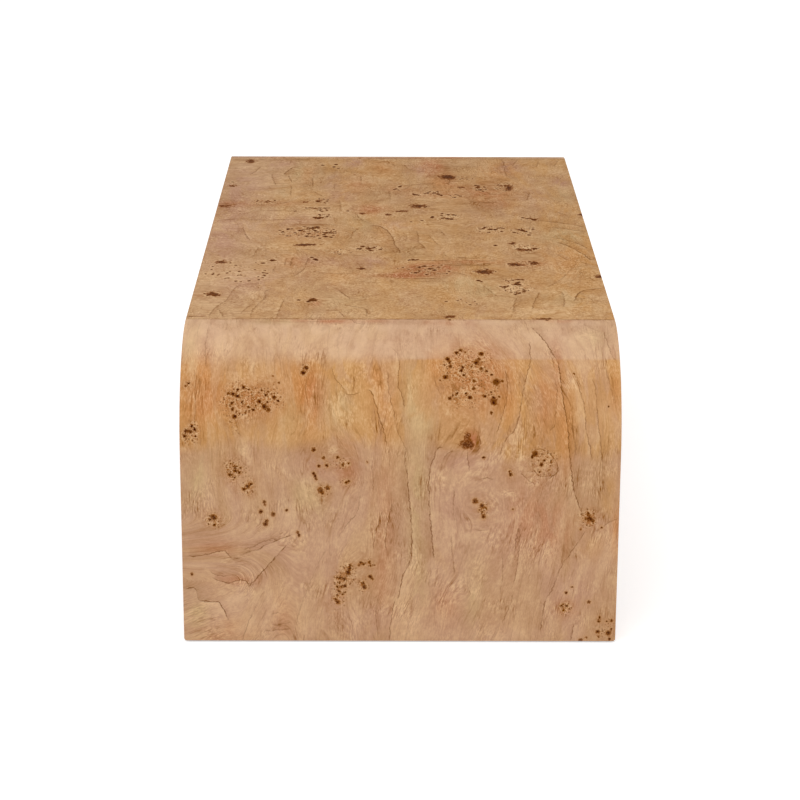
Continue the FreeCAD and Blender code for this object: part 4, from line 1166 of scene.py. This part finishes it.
# %% Strong lines and stored eyes
def drawn_line(tree, wood, width):
    """The jagged line on a strong edge and the pale side across from its shadow, where readings agree."""
    signed, plain, force = split(tree, wood["edge"])
    jagged = swing(tree, grain(tree, wood["seen"], 130.0, 4.0, 0.6), 1.0)
    beside = plus(tree, signed, jagged)
    honest = ramp(tree, minus(tree, plain, sums(tree, "ABSOLUTE", signed)), 0.9, 1.6, 1.0, 0.0)
    force = times(tree, force, honest)
    broken = ramp(tree, grain(tree, wood["seen"], 90.0), 0.34, 0.56, 0.35, 1.0)
    line = ramp(tree, sums(tree, "ABSOLUTE", beside), 0.2, width, 1.0, 0.0)
    pale = times(tree, ramp(tree, beside, -8.0, -2.0), ramp(tree, beside, -1.6, -0.4, 1.0, 0.0))
    return times(tree, times(tree, line, broken), force), times(tree, pale, force)


def ragged_rim(tree, flat, amount):
    """What makes an eye's rim uneven: plus or minus amount, in mm."""
    return swing(tree, grain(tree, flat, 420.0, 3.0, 0.65), amount, 0.25, 0.75)


def stored_eyes(tree, flat):
    """Distance from the nearest stored eye's centre, with an uneven rim, and that eye's radius, in mm."""
    x, y, radius = split(tree, attribute(tree, "eye_way", "Vector"))
    exact = put(tree, "ShaderNodeVectorMath", {0: join(tree, x, y)}, operation="LENGTH").outputs["Value"]
    gap = attribute(tree, "eye_gap")
    agree = sums(tree, "LESS_THAN", minus(tree, gap, exact), 1.5)
    distance = between(tree, agree, gap, exact)
    return plus(tree, distance, ragged_rim(tree, flat, 1.1)), radius


# %% [markdown]
# ### Light and dark
# Everything that only makes the wood lighter or darker is added up to one level first. The slow shimmer,
# the middle grain and the fibres are the same kind of noise in three sizes, and the swirl is a noise that
# doesn't follow the growth. The fine ones are livelier in some patches, on amber and on russet wood, and
# quieter on pale wood and on the legs' painted sheen.

# %% One level of light and dark
def liveliness(tree, wood, calm):
    """Fine grain's liveliness: calm to 0.9 in patches, more on warm wood, half on pale wood and painted
    sheen.
    """
    lively = ramp(tree, grain(tree, wood["flat"], 20.0), 0.48, 0.64, calm, 0.9)
    lively = plus(tree, lively, times(tree, plus(tree, wood["amber"], wood["russet"]), 0.6))
    return times(tree, lively, ramp(tree, wood["pale"], 0.2, 0.8, 1.0, 0.5))


def light_and_dark(tree, wood, look, slope, pale_side):
    """Shimmer, swirl and fibres, less the rings' slope, shadows, shade and hairs. Dark is below 0."""
    slow = layer(tree, wood, *look["slow"], detail=3.0, rough=0.55, distortion=0.5)
    middle = layer(tree, wood, *look["middle"], detail=3.0, rough=0.6)
    fibre = layer(tree, wood, *look["fibre"], rough=0.7)
    strength, scale = look["swirl"]
    swirl = swing(tree, grain(tree, wood["seen"], scale, 2.0, 0.6, 1.5), strength)
    lively = liveliness(tree, wood, look["calm"])
    strength, *scales = look["hair"]
    hair = times(tree, hairs(tree, wood, *scales), times(tree, lively, strength))
    level = plus(tree, plus(tree, slow, swirl), times(tree, plus(tree, middle, fibre), lively))
    shadow = times(tree, wood["shadow"], look["shadow"])
    for darker in (times(tree, slope, 0.06), shadow, wood["shade"], hair):
        level = minus(tree, level, darker)
    return plus(tree, plus(tree, level, times(tree, pale_side, look["pale_side"])), look["lift"])


def stepped(tree, level, colour):
    """Dark steps go to brown and light steps to cream."""
    colour = mix(tree, times(tree, level, -1.0, clamp=True), colour, step_brown)
    return mix(tree, times(tree, level, 1.0, clamp=True), colour, step_cream)


# %% [markdown]
# ### Clusters, knots and eyes
# Round every eye lies a brown halo with a thin light ring in it. Inside a cluster the wood between the eyes
# is blotched with the same brown, crossed by pale curls and dusted with pepper. A knot is a marked patch
# whose outline is torn by noise, with a darker heart, and fine cracks let the wood through. An eye is a
# brown disc with a darker heart that is open in places.

# %% Lines and clusters over the wood
def specks(tree, flat, scale, largest, share):
    """Dots round the centres of a cell pattern, each with its own radius up to largest, in mm."""
    distance, number = cells(tree, flat, scale)
    outside = minus(tree, distance, times(tree, number, largest))
    return times(tree, ramp(tree, outside, -0.5, 0.3, 1.0, 0.0), share)


def halos(tree, wood, look, outside, colour):
    """Brown near the eyes and in blotches in the clusters, and a light ring a millimetre off each eye."""
    blotch = grain(tree, wood["seen"], 100.0, 3.0, 0.6, 1.0)
    near = ramp(tree, outside, 0.0, 4.0, look["halo"], 0.0)
    brown = ramp(tree, blotch, look["blotch"], look["blotch"] + 0.2, 0.0, 0.8)
    halo = plus(tree, near, times(tree, wood["crowd"], brown), clamp=True)
    colour = mix(tree, halo, colour, halo_brown)
    fading = ramp(tree, outside, 1.2, 3.4, look["ring_light"], 0.0)
    return mix(tree, times(tree, ramp(tree, outside, 0.2, 0.9), fading), colour, step_cream)


def pale_curls(tree, wood, strength):
    """Curls in the clusters: the thin line where a swirled noise passes through its middle."""
    off_middle = sums(tree, "ABSOLUTE", minus(tree, grain(tree, wood["seen"], 130.0, 2.0, 0.5, 1.5), 0.5))
    line = ramp(tree, off_middle, 0.01, 0.05, 1.0, 0.0)
    return times(tree, line, ramp(tree, wood["crowd"], 0.2, 0.7, 0.0, strength))


# %% Knots and eyes
def knots(tree, wood, look, colour):
    """Marked patches with a torn outline: a faint halo, a brown body with cracks, and a darker heart."""
    torn = swing(tree, grain(tree, wood["seen"], 190.0, 4.0, 0.7), look["ragged"])
    depth = plus(tree, wood["knot"], torn)
    body = mix(tree, ramp(tree, depth, 0.5, 1.0, 0.0, look["knot_heart"]), knot_brown, knot_heart)
    colour = mix(tree, ramp(tree, depth, 0.15, 0.34, 0.0, 0.35), colour, halo_brown)
    cracked = ramp(tree, grain(tree, wood["seen"], 360.0, 2.0, 0.6), 0.38, 0.54, look["cracked"], 1.0)
    return mix(tree, times(tree, ramp(tree, depth, 0.32, 0.50, 0.0, 0.95), cracked), colour, body)


def eyes(tree, wood, faded, distance, radius, colour):
    """Discs with a dark heart, by distance over radius; down a leg they go over to the strength faded."""
    share = sums(tree, "DIVIDE", distance, radius)
    rim = ramp(tree, share, 0.8, 1.12, 1.0, 0.0)
    heart = ramp(tree, share, 0.3, 0.85, 1.0, 0.0)
    open_heart = ramp(tree, grain(tree, wood["seen"], 240.0, 1.0), 0.36, 0.52, 0.25, 1.0)
    deep = ramp(tree, split(tree, wood["flat"])[1], 0.20, 0.30, 1.0, faded)
    colour = mix(tree, times(tree, times(tree, rim, 0.9), deep), colour, eye_rim)
    return mix(tree, times(tree, times(tree, heart, open_heart), deep), colour, eye_heart), rim


# %% The burl finish
def lacquer(tree, shader, wood, low):
    """Matt lacquer with fine pores, rougher and a little deeper where low is 1: eyes, lines and pepper."""
    pores = wood_grain(tree, wood, 1500.0, 240.0, rough=0.7)
    gloss = plus(tree, ramp(tree, pores, 0.3, 0.8, 0.50, 0.58), times(tree, low, 0.12))
    tree.links.new(gloss, shader.inputs["Roughness"])
    shader.inputs["Specular IOR Level"].default_value = 0.03
    relief(tree, shader, minus(tree, ramp(tree, pores, 0.3, 0.7), times(tree, low, 1.5)), 0.00012, 0.3)


def finish_burl(tree, shader, wood, look):
    """Puts the layers together and drives colour, gloss and relief. look holds the layers' strengths."""
    slope, ring = rings(tree, wood, look["ring_spacing"])
    drawn, pale_side = drawn_line(tree, wood, look["line"])
    level = light_and_dark(tree, wood, look, slope, pale_side)
    colour = stepped(tree, level, tinted_ground(tree, wood, look))
    flecks = ramp(tree, grain(tree, wood["seen"], 150.0, 3.0, 0.65, 1.0), 0.42, 0.62)
    colour = mix(tree, times(tree, wood["cream"], flecks, clamp=True), colour, step_cream)
    colour = mix(tree, times(tree, ring, 0.14), colour, line_brown)
    colour = mix(tree, times(tree, drawn, look["drawn"]), colour, line_brown)

    distance, radius = wood["eye"]
    radius = times(tree, radius, look["eyes"])
    colour = halos(tree, wood, look, minus(tree, distance, radius), colour)
    colour = mix(tree, pale_curls(tree, wood, look["curls"]), colour, step_cream)
    pepper = specks(tree, wood["seen"], 230.0, 1.5, ramp(tree, wood["crowd"], 0.2, 0.6, 0.03, 0.85))
    colour = mix(tree, pepper, colour, speck_brown)
    colour = knots(tree, wood, look, colour)
    colour, rim = eyes(tree, wood, look["faded"], distance, radius, colour)
    tree.links.new(colour, shader.inputs["Base Color"])
    lacquer(tree, shader, wood, sums(tree, "MAXIMUM", rim, sums(tree, "MAXIMUM", drawn, pepper)))


# %% [markdown]
# ### Two looks
# The legs and the top are cut from different leaves, so each has its own look:
# - squash shrinks distances along the sheet for the eyes, and turned is the push at the left, in metres
# - base is how far the ground goes to straw, tint how strong the tints are, and blush how much stronger the
#   olive, mauve and russet ones are than the others
# - slow, middle, fibre and hair are a strength and the swings to the metre across and along the growth,
#   swirl is a strength and a scale, ring_spacing is in metres, calm is the least liveliness, and lift is
#   added to the whole level
# - line is where a strong line has faded out, in mm from its middle, and drawn, shadow and pale_side are the
#   strengths of that line and of its two sides
# - eyes multiplies the radii, faded is an eye's strength low down, blotch is where a cluster's brown starts,
#   and halo, ring_light and curls are strengths
# - ragged is how torn a knot's outline is, knot_heart how dark its middle gets, and cracked what is left of
#   it inside its cracks

# %% Burl for the laid sheets
leg_look = {
    "squash": 1.0, "turned": 0.15, "base": 0.0, "tint": 0.85, "blush": 1.2, "ring_spacing": 0.020,
    "slow": (0.13, 42.0, 17.0), "middle": (0.11, 150.0, 20.0), "fibre": (0.34, 620.0, 130.0),
    "hair": (0.8, 60.0, 5.0), "swirl": (0.05, 120.0), "calm": 0.32, "lift": 0.07,
    "drawn": 0.9, "line": 1.15, "shadow": 0.31, "pale_side": 0.07,
    "eyes": 1.15, "faded": 0.8, "halo": 0.55, "blotch": 0.32, "ring_light": 0.2, "curls": 0.45,
    "ragged": 0.22, "knot_heart": 0.6, "cracked": 0.5,
}
top_look = {
    "squash": top_squash, "turned": 0.0, "base": 1.0, "tint": 0.9, "blush": 1.15, "ring_spacing": 0.024,
    "slow": (0.16, 16.0, 15.0), "middle": (0.14, 70.0, 60.0), "fibre": (0.38, 260.0, 170.0),
    "hair": (0.6, 60.0, 14.0), "swirl": (0.10, 70.0), "calm": 0.5, "lift": 0.04,
    "drawn": 0.95, "line": 1.9, "shadow": 0.36, "pale_side": 0.13,
    "eyes": 1.15, "faded": 1.0, "halo": 0.25, "blotch": 0.38, "ring_light": 0.3, "curls": 0.7,
    "ragged": 0.4, "knot_heart": 0.8, "cracked": 0.85,
}
stored_fields = ("growth", "crowd", "shadow", "straw", "amber", "pale", "olive", "russet", "cream", "knot",
                 "shade", "mauve")


def laid_burl(name, look):
    """Reads the flat place and the stored figure."""
    material, tree, shader = start_material(name)
    flat = put(tree, "ShaderNodeUVMap", uv_map="sheet").outputs[0]
    wood = {field: attribute(tree, field) for field in stored_fields}
    wood["edge"] = attribute(tree, "edge_way", "Vector")
    wood["eye"] = stored_eyes(tree, flat)
    finish_burl(tree, shader, {**wood, **all_places(tree, flat, look)}, look)
    print(name, "has", len(tree.nodes), "nodes")
    return material


leg_burl = laid_burl("burl_leg", leg_look)
near_leg.data.materials.append(leg_burl)
far_leg.data.materials.append(leg_burl)
top_sheet.data.materials.append(laid_burl("burl_top", top_look))

# %% [markdown]
# ## Burl for the edges, the insides and the underside
# These faces keep the construction's own solids, so they have no stored figure. Their flat place is worked
# out from where a point is: across and along for the underside, across and down for the inside of a leg,
# along and down for the side strips. Their eyes come from a cell pattern, kept only where a cloud is high.

# %% Cell eyes and drifting lines
def cell_eyes(tree, flat, crowded):
    """Distance from the nearest cell centre, and a radius that grows with crowding, in mm."""
    distance, number = cells(tree, flat, 110.0)
    radius = times(tree, ramp(tree, number, 0.2, 1.0, 0.0, 3.0), ramp(tree, crowded, 0.35, 0.7))
    away = ramp(tree, crowded, 0.3, 0.4, 6.0, 0.0)
    distance = plus(tree, plus(tree, distance, away), ragged_rim(tree, flat, 0.9))
    return distance, sums(tree, "MAXIMUM", radius, 0.1)


def loose_burl(name, pick):
    """Burl for plain solids. pick turns the object's own x, y and z into a flat place."""
    material, tree, shader = start_material(name)
    first, second = pick(tree, *split(tree, own_place(tree)))
    flat = join(tree, first, second)
    drift = ramp(tree, grain(tree, stretched(tree, flat, 1.0, 0.45), 6.0, 3.0), 0.2, 0.8, -0.05, 0.05)
    crowded = ramp(tree, grain(tree, flat, 11.0), 0.54, 0.74)
    other_side = stretched(tree, flat, -1.0, 1.0)
    wood = {
        "growth": plus(tree, first, drift), "crowd": crowded, "eye": cell_eyes(tree, flat, crowded),
        "amber": ramp(tree, grain(tree, flat, 5.0, 1.0), 0.45, 0.75, 0.0, 0.7),
        "pale": ramp(tree, grain(tree, other_side, 4.0, 1.0), 0.5, 0.75, 0.0, 0.35),
        "russet": ramp(tree, grain(tree, flat, 14.0, 1.0), 0.6, 0.8, 0.0, 0.5),
        "straw": 0.15, "olive": 0.0, "cream": 0.0, "knot": 0.0, "shadow": 0.0, "shade": 0.0, "mauve": 0.0,
        "edge": (9.0, 9.0, 0.0),
    }
    finish_burl(tree, shader, {**wood, **all_places(tree, flat, leg_look)}, leg_look)
    return material


# %% Flat places of the plain solids
def pick_under(tree, x, y, z):
    """Across and along."""
    return x, y


def pick_inside(tree, x, y, z):
    """Across, and down the leg: height less the distance from the middle joins the bend to the leg."""
    return x, minus(tree, z, sums(tree, "ABSOLUTE", y))


def pick_side(tree, x, y, z):
    """Down and along: the strips are cut across the table's length."""
    return z, plus(tree, y, times(tree, x, 2.0))


# %% Plain solids get their burl
def dress(material, *ends):
    """Gives a material to every construction node whose name ends with one of the endings."""
    found = [n for n in nodes if n.endswith(ends)]
    for name in found:
        mesh = nodes[name].data
        mesh.materials.clear()
        mesh.materials.append(material)
    print(material.name, "on", len(found), "nodes")


dress(loose_burl("burl_under", pick_under), "under_veneer")
dress(loose_burl("burl_inside", pick_inside), "inside_veneer")
dress(loose_burl("burl_side", pick_side), "edge_veneer")

# %% [markdown]
# ## What shows in the pockets and under the feet
# Turn the table over and there is plain workshop material: fibreboard and bent plywood skins, a poplar
# frame, zinc-plated steel and black nylon feet. Plywood and timber are told apart by their colour and the
# size of their grain. In each of them one noise breaks up the colour, the gloss and the relief together.

# %% Workshop materials
def coat(tree, shader, colour, noise, gloss, depth, strength):
    """Sets the colour, and lets one noise drive the relief and, between two values, the roughness."""
    tree.links.new(colour, shader.inputs["Base Color"])
    tree.links.new(ramp(tree, noise, 0.2, 0.8, *gloss), shader.inputs["Roughness"])
    relief(tree, shader, noise, depth, strength)


def timber(name, light, dark, scale, roughness):
    """Planed wood: long grain that follows the table's width."""
    material, tree, shader = start_material(name)
    here = own_place(tree)
    long = grain(tree, stretched(tree, here, 6.0, scale, scale), 1.0, 4.0, 0.6, 0.5)
    fine = grain(tree, stretched(tree, here, 60.0, 900.0, 900.0), 1.0)
    broad = ramp(tree, long, 0.3, 0.7, 0.0, 0.8)
    share = plus(tree, broad, ramp(tree, fine, 0.3, 0.7, -0.1, 0.1), clamp=True)
    gloss = (roughness - 0.08, roughness + 0.08)
    coat(tree, shader, mix(tree, share, light, dark), fine, gloss, 0.0002, 0.3)
    return material


def fibreboard():
    """Pressed fibre: a flat brown with a fine fleck."""
    material, tree, shader = start_material("fibreboard")
    fleck = grain(tree, own_place(tree), 700.0, 3.0, 0.7)
    colour = mix(tree, ramp(tree, fleck, 0.3, 0.7), paint(150, 120, 88), paint(176, 146, 110))
    coat(tree, shader, colour, fleck, (0.75, 0.9), 0.0002, 0.3)
    return material


def zinc():
    """Bright zinc plate: a grey metal, cloudy at the scale of a thumb print."""
    material, tree, shader = start_material("zinc_plate")
    clouds = grain(tree, own_place(tree), 240.0, 3.0, 0.6)
    colour = mix(tree, clouds, paint(178, 180, 182), paint(212, 212, 208))
    coat(tree, shader, colour, clouds, (0.28, 0.45), 0.0001, 0.2)
    shader.inputs["Metallic"].default_value = 1.0
    return material


def nylon():
    """Moulded nylon: near black with a fine texture."""
    material, tree, shader = start_material("nylon")
    texture = grain(tree, own_place(tree), 1800.0, 2.0, 0.6)
    colour = mix(tree, texture, paint(32, 32, 33), paint(46, 46, 47))
    coat(tree, shader, colour, texture, (0.5, 0.65), 0.0001, 0.4)
    return material


# %% Dress the frame and the fittings
woods = (
    ("bent_plywood", paint(206, 172, 130), paint(178, 140, 98), 90.0, 0.7, ("outer_skin", "inner_skin")),
    ("birch_plywood", paint(222, 192, 150), paint(196, 160, 116), 160.0, 0.7,
     ("formers", "tongue", "cross_ribs")),
    ("poplar_frame", paint(216, 186, 148), paint(186, 154, 116), 45.0, 0.65, ("rail", "stiles", "spine")),
    ("sealed_edge", paint(96, 62, 40), paint(70, 44, 28), 120.0, 0.5, ("base_band",)),
)
dress(fibreboard(), "top_upper_skin", "top_lower_skin")
for name, light, dark, scale, roughness, ends in woods:
    dress(timber(name, light, dark, scale, roughness), *ends)
dress(zinc(), "bolts", "washers", "nuts", "inserts", "stem")
dress(nylon(), "pad")

# %% [markdown]
# ## Studio
# A white floor under soft light. The floor adds some light of its own to what the camera sees, so that it
# is clean white away from the table and keeps the table's soft shadow. The sky is plain white to the
# camera and brighter overhead for everything that it lights. What shiny surfaces mirror of it is dimmer low
# down, because matt lacquer that is seen at a low angle would turn milky otherwise.

# %% Floor
floor_reach = 30.0
floor_glow = 0.45


def white_floor():
    """Bright matt floor, which the camera sees brighter by floor_glow than the lamps make it."""
    material, tree, shader = start_material("studio_floor")
    shader.inputs["Base Color"].default_value = (0.9, 0.9, 0.9, 1)
    shader.inputs["Roughness"].default_value = 0.9
    shader.inputs["Emission Color"].default_value = (1, 1, 1, 1)
    camera_sees = put(tree, "ShaderNodeLightPath").outputs["Is Camera Ray"]
    tree.links.new(times(tree, camera_sees, floor_glow), shader.inputs["Emission Strength"])
    return material


far = floor_reach
floor = link_mesh("floor", [(-far, -far, 0), (far, -far, 0), (far, far, 0), (-far, far, 0)], [(0, 1, 2, 3)])
floor.data.materials.append(white_floor())

# %% Sky
world = bpy.data.worlds.new("studio")
bpy.context.scene.world = world
world.use_nodes = True
sky = world.node_tree
sky.nodes.clear()
ray = put(sky, "ShaderNodeLightPath").outputs
upward = split(sky, put(sky, "ShaderNodeTexCoord").outputs["Generated"])[2]
glow = ramp(sky, upward, 0.0, 0.7, 0.34, 0.76)
shine = ramp(sky, upward, 0.3, 0.8, 0.1, 1.0)
clear = sums(sky, "MAXIMUM", ray["Is Camera Ray"], ray["Is Transmission Ray"])
brightness = sums(sky, "MAXIMUM", clear, between(sky, ray["Is Glossy Ray"], glow, shine))
back = put(sky, "ShaderNodeBackground", {"Color": (1, 1, 1, 1), "Strength": brightness})
put(sky, "ShaderNodeOutputWorld", {"Surface": back.outputs[0]})


# %% [markdown]
# Two soft boxes shape the table: the key stands high at the front left and lights the top and the shoulder,
# and the fill stands low in front and keeps the leg from going dark. The last two numbers are a box's size
# in metres and its power in watts.

# %% Lamps
def lamp(name, place, aim, size, power):
    """A square soft box at place, turned to face aim."""
    data = bpy.data.lights.new(name, "AREA")
    data.shape = "SQUARE"
    data.size = size
    data.energy = power
    box = bpy.data.objects.new(name, data)
    bpy.context.scene.collection.objects.link(box)
    box.location = place
    box.rotation_euler = (Vector(aim) - Vector(place)).to_track_quat("-Z", "Y").to_euler()


lamp("key", (-0.8, -1.6, 3.4), (0, -0.4, 0.3), 2.4, 37)
lamp("fill", (1.0, -3.9, 0.9), (0, -0.6, 0.15), 2.2, 27)

# %% [markdown]
# ## Camera
# A long lens stands a little over three metres from the near leg, eye high, and looks down the table. Its
# focal length is written in sensor widths, and its turns in degrees.

# %% Camera
focal_widths = 3.1368125
lens_pitch = 17.77
lens_roll = 0.224
lens_yaw = -0.304
camera_side = -0.0184
camera_back = 3.2785
camera_height = 1.4108
camera_data = bpy.data.cameras.new("camera")
camera_data.sensor_width = 36.0
camera_data.lens = focal_widths * camera_data.sensor_width
camera_data.clip_end = 100.0
camera = bpy.data.objects.new("camera", camera_data)
bpy.context.scene.collection.objects.link(camera)
camera.location = (camera_side, -half_length - camera_back, camera_height)
aim = Euler((math.radians(90 - lens_pitch), 0, math.radians(lens_yaw)), "XYZ").to_matrix()
roll = Euler((0, 0, math.radians(lens_roll)), "XYZ").to_matrix()
camera.rotation_euler = (aim @ roll).to_euler()
bpy.context.scene.camera = camera
bpy.context.scene.view_settings.view_transform = "Standard"
print(f"lens of {camera_data.lens:.0f} mm, {camera_back:.2f} m in front of the near leg")
